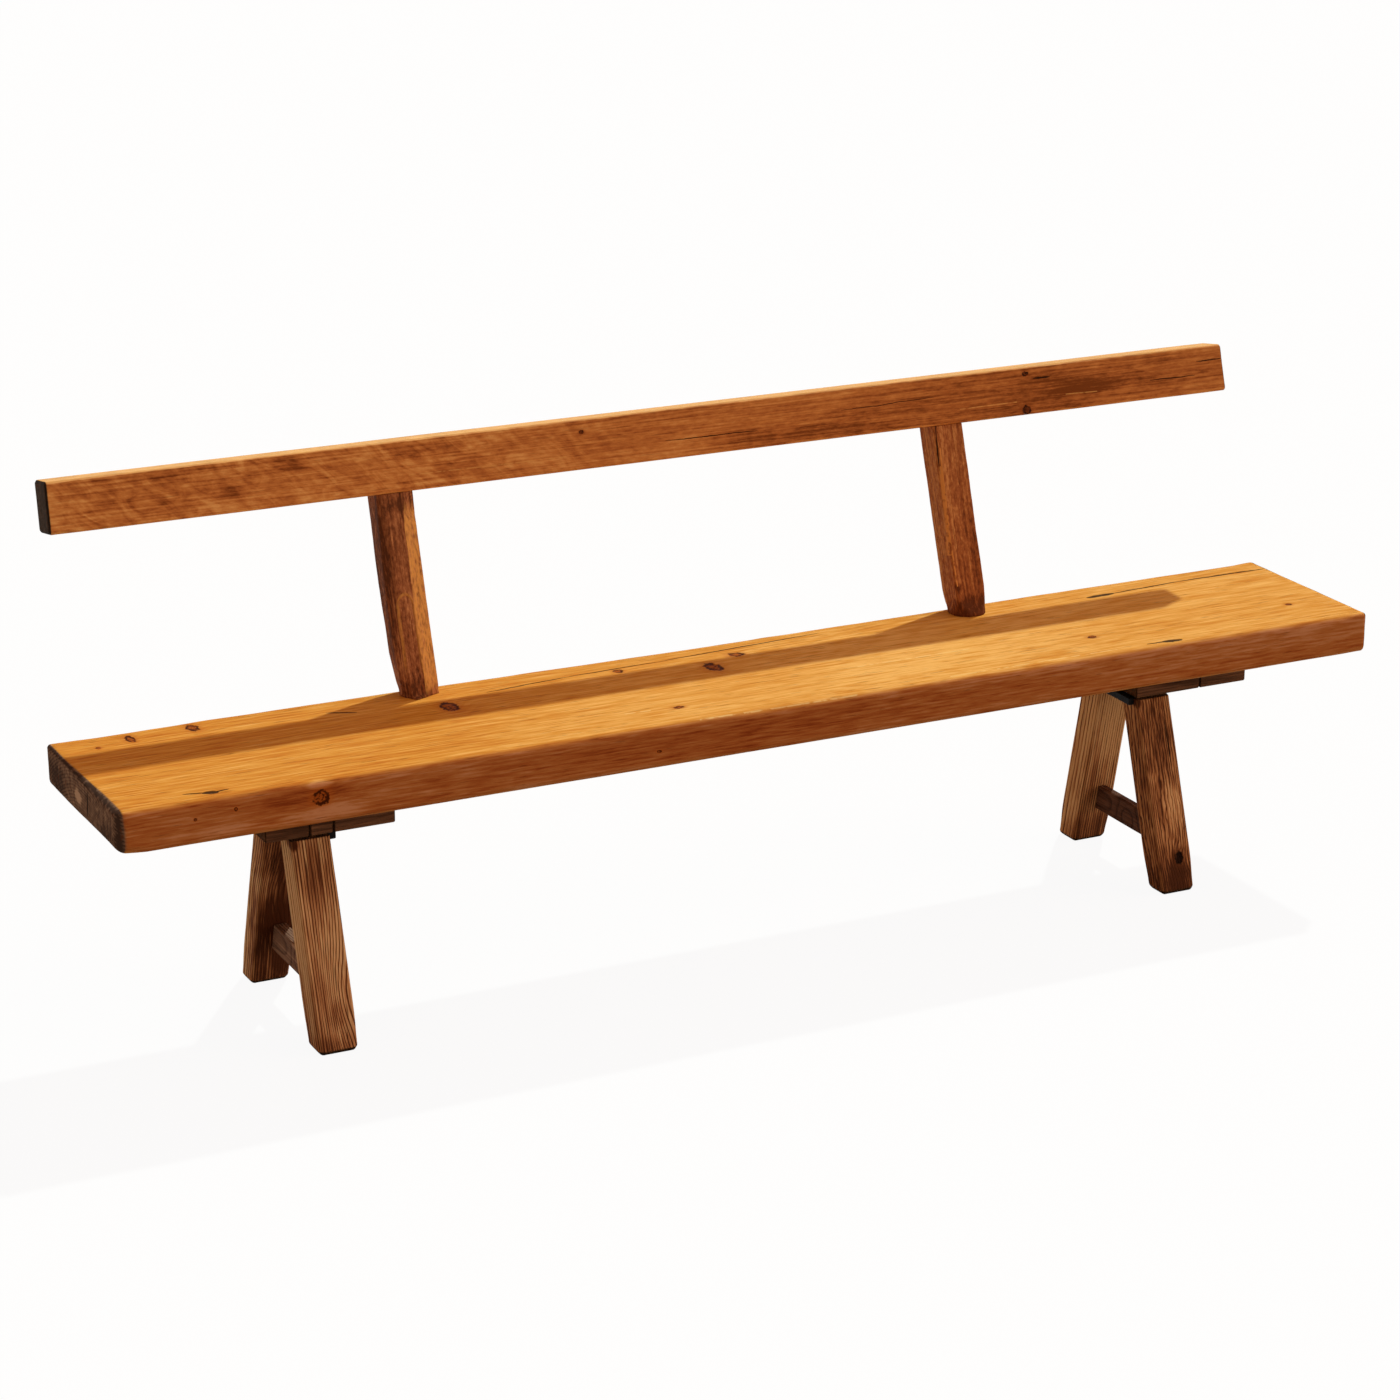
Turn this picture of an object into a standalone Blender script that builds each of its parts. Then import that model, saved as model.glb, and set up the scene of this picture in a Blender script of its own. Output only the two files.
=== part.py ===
"""Long trestle bench with a back rail, built as an assembly of separate pieces.

Sizes are in metres. X runs along the bench from the middle of the seat, Y runs
back from the seat's front edge, and Z runs up from the floor. The empty named
bench carries every piece and puts the origin under the middle of the bench.
"""
import math

import bmesh
import bpy
from mathutils import Vector

# Gaps between pieces
CLEARANCE = 0.0003       # between faces that touch
BOARD_GAP = 0.0006       # between the plate boards, side by side
END_PLAY = 0.001         # past the end of a tenon or a screw

# Seat plank
SEAT_LENGTH = 2.236
SEAT_DEPTH = 0.353
SEAT_THICKNESS = 0.071
SEAT_HEIGHT = 0.450      # top of the seat above the floor
SEAT_UPPER_ROUND = 0.0125
SEAT_LOWER_ROUND = 0.009
SEAT_END_ROUND = 0.015
SEAT_CORNER_ROUND = 0.012

# Back rail, held at the front lower edge
RAIL_LENGTH = 2.1525
RAIL_SHIFT = -0.0043     # middle of the rail from the middle of the seat
RAIL_WIDTH = 0.0833      # up its face
RAIL_DEPTH = 0.0595
RAIL_TILT = math.radians(10.0)
RAIL_FALL = math.radians(0.15)    # down to the right, along its length
RAIL_RISE = 0.3144       # lower front edge above the seat's top, at mid-length
RAIL_OVERHANG = 0.0379   # lower front edge behind the seat's back edge
RAIL_ROUND = 0.0045

# Back posts
LEFT_POST_FROM_END = 0.610        # axis from the seat's left end
LEFT_POST_FROM_BACK = 0.031       # axis in front of the seat's back edge
LEFT_POST_WIDTH = 0.0645
LEFT_POST_DEPTH = 0.048
LEFT_FOOT_RADIUS = 0.033 # round foot where the post meets the seat
LEFT_FOOT_FLARE = 0.070  # height at which the foot has run out to the square
LEFT_FACET_WIDTH = 0.028 # on the front right corner
LEFT_FACET_DEPTH = 0.0125
LEFT_CORNER_WIDTH = 0.008         # on the front left corner
LEFT_CORNER_DEPTH = 0.010
RIGHT_POST_FROM_END = 0.6127
RIGHT_POST_FROM_BACK = 0.036
RIGHT_POST_WIDTH = 0.058
RIGHT_POST_DEPTH = 0.051
RIGHT_FOOT_RADIUS = 0.0315
RIGHT_FOOT_FLARE = 0.050
RIGHT_CORNER_WIDTH = 0.007        # on the front left corner
RIGHT_CORNER_DEPTH = 0.007
FACET_STOP = 0.014       # square length left above each facet
POST_ROUND = 0.002
POST_STUB = 0.040        # length below the seat's top that is trimmed away
FOOT_STRAIGHT = 0.008
SEAT_TENON_RADIUS = 0.020
RAIL_TENON_WIDTH = 0.034
RAIL_TENON_DEPTH = 0.024
RAIL_TENON_LENGTH = 0.048
PEG_RADIUS = 0.005
PEG_HEIGHT = 0.024       # peg axis above the rail's underside
PEG_COVER = 0.012        # wood left in front of the peg
WEDGE_THICKNESS = 0.004
WEDGE_TIP = 0.0015
WEDGE_LENGTH = 0.048

# Boards between the seat and the trestles
PLATE_SETBACK = 0.0965   # front faces behind the seat's front edge
PLATE_DEPTH = 0.168
PLATE_THICKNESS = 0.0535
PLATE_ROUND = 0.002
LEFT_OUTER_WIDTH = 0.0735
LEFT_MIDDLE_WIDTH = 0.039
LEFT_INNER_WIDTH = 0.1025
LEFT_PLATE_OVERHANG = 0.043   # past the outer face of the left legs
RIGHT_INNER_WIDTH = 0.1295
RIGHT_OUTER_WIDTH = 0.094

# Iron bars on the leg tops
BAR_THICKNESS = 0.013
LEFT_BAR_OVERHANG = 0.012     # past the inner faces of the legs
RIGHT_BAR_OVERHANG = 0.009
BAR_ROUND = 0.001
LEG_LIP = 0.008          # wood left in front of or behind a bar's end

# Legs, with their depth measured level
LEFT_LEG_FROM_END = 0.3372        # middle of the legs from the seat's left end
LEFT_LEG_WIDTH = 0.0635
LEFT_LEG_SPAN = 0.1635   # front face of the front leg to back face of the back one, at the top
LEFT_FRONT_SPLAY = math.radians(17.0)
LEFT_FRONT_DEPTH = 0.054
LEFT_BACK_SPLAY = math.radians(17.9)
LEFT_BACK_DEPTH = 0.051
RIGHT_LEG_FROM_END = 0.3693
RIGHT_LEG_WIDTH = 0.0675
RIGHT_LEG_SPAN = 0.1675
RIGHT_FRONT_SPLAY = math.radians(18.2)
RIGHT_FRONT_DEPTH = 0.050
RIGHT_BACK_SPLAY = math.radians(12.5)
RIGHT_BACK_DEPTH = 0.0575
LEG_ROUND = 0.0035

# Stretchers
LEFT_STRETCHER_LOWER = 0.0675     # underside above the floor
LEFT_STRETCHER_WIDTH = 0.0475
LEFT_STRETCHER_THICKNESS = 0.022
LEFT_STRETCHER_SHIFT = 0.007      # towards the right, from the middle of the legs
RIGHT_STRETCHER_LOWER = 0.065
RIGHT_STRETCHER_WIDTH = 0.046
RIGHT_STRETCHER_THICKNESS = 0.016
RIGHT_STRETCHER_SHIFT = 0.0065
STRETCHER_ROUND = 0.002
STRETCHER_TENON_THICKNESS = 0.010
STRETCHER_TENON_WIDTH = 0.034
STRETCHER_TENON_LENGTH = 0.026

# Screws
SCREW_RADIUS = 0.003
SCREW_HEAD_RADIUS = 0.006
SCREW_HEAD_LENGTH = 0.004
COACH_RADIUS = 0.004
COACH_HEAD_FLAT = 0.013  # across the flats
COACH_HEAD_LENGTH = 0.0055
SCREW_TAPER = 0.010      # length of the pointed end
SCREW_POINT = 0.0008
SEAT_BITE = 0.035        # screw length inside the seat
LEG_BITE = 0.032         # screw length inside a leg
BAR_SCREW_SPREAD = 0.010
PLATE_SCREW_EDGE = 0.036 # from a board's front or back end

ARC_STEPS = 4            # facets in a quarter round
ROUND_SIDES = 24
FOOT_SIDES = 40
CUT_REACH = 0.02         # how far a cutter runs past what it cuts
SHARP_ANGLE = math.radians(35.0)

# Heights and places that follow from the sizes above
SEAT_UNDERSIDE = SEAT_HEIGHT - SEAT_THICKNESS
PLATE_TOP = SEAT_UNDERSIDE - CLEARANCE
PLATE_UNDERSIDE = PLATE_TOP - PLATE_THICKNESS
PLATE_BACK = PLATE_SETBACK + PLATE_DEPTH
BAR_TOP = PLATE_UNDERSIDE - CLEARANCE
BAR_UNDERSIDE = BAR_TOP - BAR_THICKNESS
LEG_TOP = PLATE_UNDERSIDE - CLEARANCE
RAIL_FRONT = SEAT_DEPTH + RAIL_OVERHANG
RAIL_BOTTOM = SEAT_HEIGHT + RAIL_RISE
LEFT_POST_X = LEFT_POST_FROM_END - SEAT_LENGTH / 2.0
RIGHT_POST_X = SEAT_LENGTH / 2.0 - RIGHT_POST_FROM_END
LEFT_LEG_X = LEFT_LEG_FROM_END - SEAT_LENGTH / 2.0
RIGHT_LEG_X = SEAT_LENGTH / 2.0 - RIGHT_LEG_FROM_END


def clear_scene():
    for old in list(bpy.data.objects):
        bpy.data.objects.remove(old, do_unlink=True)


def make_material(name, colour, roughness, metallic=0.0):
    made = bpy.data.materials.new(name)
    made.use_nodes = True
    shader = made.node_tree.nodes["Principled BSDF"]
    shader.inputs["Base Color"].default_value = (*colour, 1.0)
    shader.inputs["Roughness"].default_value = roughness
    shader.inputs["Metallic"].default_value = metallic
    made.diffuse_color = (*colour, 1.0)
    return made


def seat_wood():
    return make_material("seat_wood", (0.52, 0.24, 0.07), 0.45)


def rail_wood():
    return make_material("rail_wood", (0.38, 0.15, 0.04), 0.45)


def post_wood():
    return make_material("post_wood", (0.30, 0.12, 0.04), 0.5)


def leg_wood():
    return make_material("leg_wood", (0.19, 0.085, 0.035), 0.6)


def plate_wood():
    return make_material("plate_wood", (0.14, 0.07, 0.035), 0.7)


def peg_wood():
    return make_material("peg_wood", (0.33, 0.16, 0.06), 0.6)


def black_iron():
    return make_material("black_iron", (0.02, 0.02, 0.022), 0.55, 0.9)


def screw_steel():
    return make_material("screw_steel", (0.11, 0.10, 0.10), 0.45, 0.9)


def all_materials():
    made = (seat_wood(), rail_wood(), post_wood(), leg_wood(), plate_wood(), peg_wood(),
            black_iron(), screw_steel())
    return {material.name: material for material in made}


def place(name, mesh_data, carrier, location=(0.0, 0.0, 0.0), turn=0.0, material=None):
    """Adds an object; turn is its rotation about X."""
    bmesh.ops.recalc_face_normals(mesh_data, faces=mesh_data.faces)
    mesh = bpy.data.meshes.new(name)
    mesh_data.to_mesh(mesh)
    mesh_data.free()
    added = bpy.data.objects.new(name, mesh)
    bpy.context.scene.collection.objects.link(added)
    added.parent = carrier
    added.location = location
    added.rotation_euler = (turn, 0.0, 0.0)
    if material is not None:
        mesh.materials.append(material)
        mesh.shade_smooth()
        mesh.set_sharp_from_angle(angle=SHARP_ANGLE)
    return added


def as_cutter(tool):
    tool.hide_render = True
    tool.display_type = "WIRE"
    return tool


def combine(target, tool, operation):
    modifier = target.modifiers.new(f"{operation.lower()}_{tool.name}", "BOOLEAN")
    modifier.operation = operation
    modifier.solver = "EXACT"
    modifier.object = tool


def drill(host, tool):
    """Adds a cutter to the single Boolean that makes all of a piece's holes."""
    modifier = host.modifiers.get("holes")
    if modifier is None:
        modifier = host.modifiers.new("holes", "BOOLEAN")
        modifier.operation = "DIFFERENCE"
        modifier.solver = "EXACT"
        modifier.operand_type = "COLLECTION"
        modifier.collection = bpy.data.collections.new(f"holes_{host.name}")
    modifier.collection.objects.link(tool)


def block(low, high):
    """Plain box between two corners."""
    made = bmesh.new()
    bmesh.ops.create_cube(made, size=1.0)
    low = Vector(low)
    high = Vector(high)
    for vertex in made.verts:
        vertex.co = Vector(
            low[i] + (vertex.co[i] + 0.5) * (high[i] - low[i]) for i in range(3)
        )
    return made


def softened_block(low, high, width, steps=2):
    made = block(low, high)
    bmesh.ops.bevel(made, geom=made.edges[:], offset=width, segments=steps,
                    profile=0.5, affect="EDGES", clamp_overlap=True)
    return made


def round_edges(target, width_of, steps):
    """Rounds a box's twelve edges with a Bevel modifier; width_of gives each edge's radius."""
    made = bmesh.new()
    made.from_mesh(target.data)
    widths = [width_of(*(vertex.co.copy() for vertex in edge.verts)) for edge in made.edges]
    widest = max(widths)
    weight = made.edges.layers.float.new("bevel_weight_edge")
    for edge, width in zip(made.edges, widths):
        edge[weight] = width / widest
    made.to_mesh(target.data)
    made.free()
    modifier = target.modifiers.new("rounding", "BEVEL")
    modifier.limit_method = "WEIGHT"
    modifier.width = widest
    modifier.segments = steps
    modifier.profile = 0.5


def prism(outline, start, end):
    """Extrudes a Y-Z outline along X."""
    made = bmesh.new()
    face = made.faces.new([made.verts.new((start, y, z)) for y, z in outline])
    pushed = bmesh.ops.extrude_face_region(made, geom=[face])
    moved = [item for item in pushed["geom"] if isinstance(item, bmesh.types.BMVert)]
    bmesh.ops.translate(made, verts=moved, vec=(end - start, 0.0, 0.0))
    return made


def loft(rings):
    """Closed body through rings that have the same number of points."""
    made = bmesh.new()
    loops = [[made.verts.new(point) for point in ring] for ring in rings]
    made.faces.new(loops[0])
    made.faces.new(loops[-1])
    count = len(loops[0])
    for lower, upper in zip(loops, loops[1:]):
        for i in range(count):
            j = (i + 1) % count
            made.faces.new((lower[i], lower[j], upper[j], upper[i]))
    return made


def ring(height, radius_at, sides):
    angles = [2.0 * math.pi * i / sides for i in range(sides)]
    return [(radius_at(a) * math.cos(a), radius_at(a) * math.sin(a), height) for a in angles]


def turned(profile, sides):
    """Round body from (height, radius) pairs, bottom to top."""
    return loft([ring(z, lambda angle, r=r: r, sides) for z, r in profile])


def hexagon_radius(flat):
    """Radius of a hexagon at an angle, from its size across the flats."""
    sector = math.pi / 3.0
    return lambda angle: 0.5 * flat / math.cos((angle + sector / 2.0) % sector - sector / 2.0)


def seat_round(first, second):
    """Radius of a seat edge between two corners of its box."""
    if abs(first.z - second.z) > CLEARANCE:
        return SEAT_CORNER_ROUND
    if abs(first.y - second.y) > CLEARANCE:
        return SEAT_END_ROUND
    if first.z > SEAT_THICKNESS / 2.0:
        return SEAT_UPPER_ROUND
    return SEAT_LOWER_ROUND


def seat_plank(bench, materials):
    made = block((-SEAT_LENGTH / 2.0, 0.0, 0.0), (SEAT_LENGTH / 2.0, SEAT_DEPTH, SEAT_THICKNESS))
    plank = place("seat_plank", made, bench, (0.0, 0.0, SEAT_UNDERSIDE), 0.0,
                  materials["seat_wood"])
    round_edges(plank, seat_round, ARC_STEPS)
    return plank


def back_rail(bench, materials):
    made = softened_block((-RAIL_LENGTH / 2.0, 0.0, 0.0),
                          (RAIL_LENGTH / 2.0, RAIL_DEPTH, RAIL_WIDTH), RAIL_ROUND, 3)
    rail = place("back_rail", made, bench, (RAIL_SHIFT, RAIL_FRONT, RAIL_BOTTOM),
                 -RAIL_TILT, materials["rail_wood"])
    rail.rotation_euler.y = RAIL_FALL
    return rail


def rail_bottom(x):
    """Height of the rail's lower front edge at a place along the bench."""
    return RAIL_BOTTOM - (x - RAIL_SHIFT) * math.tan(RAIL_FALL)


def post_lean(x, inset):
    """Lean that brings a post's axis under the middle of the rail."""
    top_y = RAIL_FRONT + 0.5 * RAIL_DEPTH * math.cos(RAIL_TILT)
    top_z = rail_bottom(x) - 0.5 * RAIL_DEPTH * math.sin(RAIL_TILT)
    return math.atan2(top_y - (SEAT_DEPTH - inset), top_z - SEAT_HEIGHT)


def shoulder_height(x, inset, depth):
    """Length along a post's axis at which its shoulder's front edge meets the rail."""
    lean = post_lean(x, inset)
    slope = math.tan(RAIL_TILT)
    edge_y = SEAT_DEPTH - inset - 0.5 * depth * math.cos(lean)
    edge_z = SEAT_HEIGHT + 0.5 * depth * math.sin(lean)
    reach = rail_bottom(x) - CLEARANCE - edge_z + slope * (RAIL_FRONT - edge_y)
    return reach / (math.cos(lean) + slope * math.sin(lean))


def facet_cutter(name, post, side, width, depth, facet_width, facet_depth, top):
    """Three-sided cutter that takes off a post's front corner on one side."""
    corner_x = side * width / 2.0
    corner_y = -depth / 2.0
    reach_x = side * facet_width * CUT_REACH / facet_depth
    reach_y = facet_depth * CUT_REACH / facet_width
    triangle = ((corner_x - side * facet_width - reach_x, corner_y - CUT_REACH),
                (corner_x + side * CUT_REACH, corner_y - CUT_REACH),
                (corner_x + side * CUT_REACH, corner_y + facet_depth + reach_y))
    rings = [[(x, y, z) for x, y in triangle] for z in (-POST_STUB - CUT_REACH, top)]
    return as_cutter(place(name, loft(rings), post))


def wedge_body(half_width, grow):
    """Wedge for the split end of a round tenon; its thick end is at the bottom."""
    rings = []
    for z, thickness in ((0.0, WEDGE_THICKNESS), (WEDGE_LENGTH + grow, WEDGE_TIP)):
        half = thickness / 2.0 + grow
        rings.append([(-half, -half_width, z), (half, -half_width, z),
                      (half, half_width, z), (-half, half_width, z)])
    return loft(rings)


def back_post(side, x, width, depth, inset, foot, facets, bench, seat, rail, slabs, materials):
    """One post with its seat tenon, wedge, rail tenon and peg."""
    lean = post_lean(x, inset)
    top = shoulder_height(x, inset, depth)
    outline = block((-width / 2.0, -depth / 2.0, -POST_STUB), (width / 2.0, depth / 2.0, top))
    upright = [edge for edge in outline.edges
               if abs(edge.verts[0].co.z - edge.verts[1].co.z) > CUT_REACH]
    bmesh.ops.bevel(outline, geom=upright, offset=POST_ROUND, segments=1, affect="EDGES")
    post = place(f"back_post_{side}", outline, bench,
                 (x, SEAT_DEPTH - inset, SEAT_HEIGHT), -lean, materials["post_wood"])

    run_out = math.hypot(width, depth) / 2.0 + CLEARANCE
    foot_radius, flare = foot
    foot_profile = ((-POST_STUB - CUT_REACH, foot_radius), (FOOT_STRAIGHT, foot_radius),
                    (flare, run_out), (top + CUT_REACH, run_out))
    combine(post, as_cutter(place(f"foot_{side}", turned(foot_profile, FOOT_SIDES), post)),
            "INTERSECT")
    for facet_side, facet_width, facet_depth in facets:
        combine(post, facet_cutter(f"facet_{side}", post, facet_side, width, depth,
                                   facet_width, facet_depth, top - FACET_STOP), "DIFFERENCE")
    combine(post, slabs["above_seat"], "DIFFERENCE")

    through = SEAT_THICKNESS / math.cos(lean) + CUT_REACH
    tenon = turned(((-through, SEAT_TENON_RADIUS), (CUT_REACH, SEAT_TENON_RADIUS)), ROUND_SIDES)
    combine(post, as_cutter(place(f"seat_tenon_{side}", tenon, post)), "UNION")
    combine(post, slabs["below_seat"], "DIFFERENCE")
    bore_radius = SEAT_TENON_RADIUS + CLEARANCE
    bore = turned(((-through - CUT_REACH, bore_radius), (CUT_REACH, bore_radius)), ROUND_SIDES)
    drill(seat, as_cutter(place(f"seat_bore_{side}", bore, post)))

    below = (SEAT_TENON_RADIUS + CUT_REACH) * math.tan(lean)
    wedge_foot = (0.0, 0.0, -SEAT_THICKNESS / math.cos(lean) - below)
    kerf_body = wedge_body(SEAT_TENON_RADIUS + END_PLAY, CLEARANCE)
    combine(post, as_cutter(place(f"kerf_{side}", kerf_body, post, wedge_foot)), "DIFFERENCE")
    wedge = place(f"post_wedge_{side}", wedge_body(SEAT_TENON_RADIUS - END_PLAY, 0.0), post,
                  wedge_foot, 0.0, materials["peg_wood"])
    combine(wedge, slabs["below_seat"], "DIFFERENCE")

    half_width = RAIL_TENON_WIDTH / 2.0
    half_depth = RAIL_TENON_DEPTH / 2.0
    tenon = block((-half_width, -half_depth, top - CUT_REACH),
                  (half_width, half_depth, top + RAIL_TENON_LENGTH))
    combine(post, as_cutter(place(f"rail_tenon_{side}", tenon, post)), "UNION")
    mortise = block((-half_width - CLEARANCE, -half_depth - CLEARANCE, top - CUT_REACH),
                    (half_width + CLEARANCE, half_depth + CLEARANCE,
                     top + RAIL_TENON_LENGTH + END_PLAY))
    drill(rail, as_cutter(place(f"mortise_{side}", mortise, post)))

    peg_base = (x - RAIL_SHIFT, PEG_COVER, PEG_HEIGHT)
    peg_length = RAIL_DEPTH - PEG_COVER
    peg = turned(((0.0, PEG_RADIUS), (peg_length, PEG_RADIUS)), ROUND_SIDES)
    place(f"rail_peg_{side}", peg, rail, peg_base, -math.pi / 2.0, materials["peg_wood"])
    hole_radius = PEG_RADIUS + CLEARANCE
    hole = turned(((-CLEARANCE, hole_radius), (peg_length + CUT_REACH, hole_radius)), ROUND_SIDES)
    peg_hole = as_cutter(place(f"peg_hole_{side}", hole, rail, peg_base, -math.pi / 2.0))
    combine(post, peg_hole, "DIFFERENCE")
    drill(rail, peg_hole)
    return post


def cutting_slabs(bench):
    """Level slabs that trim the posts on the seat and flush under it."""
    wide = SEAT_LENGTH
    top = block((-wide, -wide, SEAT_UNDERSIDE - CUT_REACH), (wide, wide, SEAT_HEIGHT + CLEARANCE))
    under = block((-wide, -wide, SEAT_UNDERSIDE - SEAT_THICKNESS), (wide, wide, SEAT_UNDERSIDE))
    above_seat = as_cutter(place("slab_above_seat", top, bench))
    below_seat = as_cutter(place("slab_below_seat", under, bench))
    return {"above_seat": above_seat, "below_seat": below_seat}


def plate_board(name, start, width, bench, materials):
    """Board across the seat's underside; start is its left edge."""
    made = softened_block((start, PLATE_SETBACK, PLATE_UNDERSIDE),
                          (start + width - BOARD_GAP, PLATE_BACK, PLATE_TOP), PLATE_ROUND)
    return place(name, made, bench, material=materials["plate_wood"])


def housing_ends(span):
    """Front and back of the housing for a bar, inside the lips of the legs."""
    return PLATE_SETBACK + LEG_LIP, PLATE_SETBACK + span - LEG_LIP


def bearer_bar(side, x, width, span, inner, overhang, bench, materials):
    """Flat iron bar on a pair of legs; inner is +1 or -1, towards the bench's middle."""
    ends = sorted((x - inner * width / 2.0, x + inner * (width / 2.0 + overhang)))
    front, back = housing_ends(span)
    made = softened_block((ends[0], front + CLEARANCE, BAR_UNDERSIDE),
                          (ends[1], back - CLEARANCE, BAR_TOP), BAR_ROUND, 1)
    return place(f"bearer_bar_{side}", made, bench, material=materials["black_iron"])


def outer_face(span, splay, facing):
    """Y of a leg's outer face at a height; facing is -1 for a front leg."""
    top_y = PLATE_SETBACK if facing < 0.0 else PLATE_SETBACK + span
    return lambda z: top_y + facing * (LEG_TOP - z) * math.tan(splay)


def inner_face(span, splay, depth, facing):
    """Y of a leg's inner face at a height."""
    outer = outer_face(span, splay, facing)
    return lambda z: outer(z) - facing * depth


def leg(name, x, width, span, splay, depth, facing, bench, materials):
    outer = outer_face(span, splay, facing)
    inner = inner_face(span, splay, depth, facing)
    outline = ((outer(0.0), 0.0), (inner(0.0), 0.0),
               (inner(LEG_TOP), LEG_TOP), (outer(LEG_TOP), LEG_TOP))
    made = prism(outline, x - width / 2.0, x + width / 2.0)
    # round the foot and the four long edges, but not the top
    softened = [edge for edge in made.edges
                if min(edge.verts[0].co.z, edge.verts[1].co.z) < CLEARANCE]
    bmesh.ops.bevel(made, geom=softened, offset=LEG_ROUND, segments=2,
                    profile=0.5, affect="EDGES", clamp_overlap=True)
    return place(name, made, bench, material=materials["leg_wood"])


def stretcher(side, centre, lower, width, thickness, faces, bench, legs, materials):
    """Stretcher with its shoulders on the legs' inner faces and a blind tenon at each end."""
    front_inner, back_inner = faces
    upper = lower + width
    front_at = lambda z: front_inner(z) + CLEARANCE
    back_at = lambda z: back_inner(z) - CLEARANCE
    outline = ((front_at(lower), lower), (back_at(lower), lower),
               (back_at(upper), upper), (front_at(upper), upper))
    made = prism(outline, centre - thickness / 2.0, centre + thickness / 2.0)
    along = [edge for edge in made.edges
             if abs(edge.verts[0].co.x - edge.verts[1].co.x) < CLEARANCE
             and abs(edge.verts[0].co.z - edge.verts[1].co.z) < CLEARANCE]
    bmesh.ops.bevel(made, geom=along, offset=STRETCHER_ROUND, segments=2, profile=0.5,
                    affect="EDGES", clamp_overlap=True)
    piece = place(f"stretcher_{side}", made, bench, material=materials["leg_wood"])

    middle = lower + width / 2.0
    half_thick = STRETCHER_TENON_THICKNESS / 2.0
    half_wide = STRETCHER_TENON_WIDTH / 2.0
    ends = (front_at(middle) - STRETCHER_TENON_LENGTH, back_at(middle) + STRETCHER_TENON_LENGTH)
    tenon = block((centre - half_thick, ends[0], middle - half_wide),
                  (centre + half_thick, ends[1], middle + half_wide))
    combine(piece, as_cutter(place(f"stretcher_tenon_{side}", tenon, bench)), "UNION")
    mortise = block((centre - half_thick - CLEARANCE, ends[0] - END_PLAY,
                     middle - half_wide - CLEARANCE),
                    (centre + half_thick + CLEARANCE, ends[1] + END_PLAY,
                     middle + half_wide + CLEARANCE))
    mortises = as_cutter(place(f"stretcher_mortise_{side}", mortise, bench))
    for carrier in legs:
        drill(carrier, mortises)


def bar_housing(side, x, width, span, legs, bench):
    """Housing for the bar across both leg tops, open at the sides and above."""
    front, back = housing_ends(span)
    made = block((x - width / 2.0 - CUT_REACH, front, BAR_UNDERSIDE - CLEARANCE),
                 (x + width / 2.0 + CUT_REACH, back, LEG_TOP + CUT_REACH))
    housing = as_cutter(place(f"bar_housing_{side}", made, bench))
    for carrier in legs:
        drill(carrier, housing)


def flat_screw_body(length, grow):
    """Countersunk screw, point at the bottom and head flush with height 0."""
    profile = [(-length - grow, SCREW_POINT + grow),
               (-length + SCREW_TAPER, SCREW_RADIUS + grow),
               (-SCREW_HEAD_LENGTH, SCREW_RADIUS + grow),
               (-CLEARANCE, SCREW_HEAD_RADIUS + grow)]
    if grow > 0.0:
        profile.append((CUT_REACH, SCREW_HEAD_RADIUS + grow))
    return turned(profile, ROUND_SIDES)


def coach_screw_body(length):
    """Coach screw, six-sided head under height 0 and point at the top."""
    flat = hexagon_radius(COACH_HEAD_FLAT)
    shank = lambda angle: COACH_RADIUS
    point = lambda angle: SCREW_POINT
    return loft([ring(-COACH_HEAD_LENGTH - CLEARANCE, flat, ROUND_SIDES),
                 ring(-CLEARANCE, flat, ROUND_SIDES),
                 ring(-CLEARANCE, shank, ROUND_SIDES),
                 ring(length - SCREW_TAPER, shank, ROUND_SIDES),
                 ring(length, point, ROUND_SIDES)])


def drive(name, body, hole, spot, turn, bench, hosts, materials):
    """Puts a screw at a spot and cuts its hole in every piece it passes through."""
    place(name, body, bench, spot, turn, materials["screw_steel"])
    cutter = as_cutter(place(f"hole_{name}", hole, bench, spot, turn))
    for host in hosts:
        drill(host, cutter)


def leg_screws(side, x, span, shapes, legs, bar, bench, materials):
    """One screw down through the bar into each leg top."""
    length = BAR_THICKNESS + LEG_BITE
    mid_bite = BAR_UNDERSIDE - LEG_BITE / 2.0
    for where, facing, shape, carrier in zip(("front", "back"), (-1.0, 1.0), shapes, legs):
        splay, depth = shape
        centre_y = outer_face(span, splay, facing)(mid_bite) - facing * depth / 2.0
        drive(f"leg_screw_{where}_{side}", flat_screw_body(length, 0.0),
              flat_screw_body(length, CLEARANCE), (x, centre_y, BAR_TOP), 0.0,
              bench, (bar, carrier), materials)


def bar_screws(side, places, bar, bench, seat, materials):
    """Coach screws up through the bar and a board into the seat."""
    length = BAR_THICKNESS + PLATE_THICKNESS + 2.0 * CLEARANCE + SEAT_BITE
    middle = PLATE_SETBACK + PLATE_DEPTH / 2.0
    hole_radius = COACH_RADIUS + CLEARANCE
    for (where, x, board), shift in zip(places, (-BAR_SCREW_SPREAD, BAR_SCREW_SPREAD)):
        hole = turned(((-CUT_REACH, hole_radius), (length + END_PLAY, hole_radius)), ROUND_SIDES)
        drive(f"bar_screw_{side}_{where}", coach_screw_body(length), hole,
              (x, middle + shift, BAR_UNDERSIDE), 0.0, bench, (bar, board, seat), materials)


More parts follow.
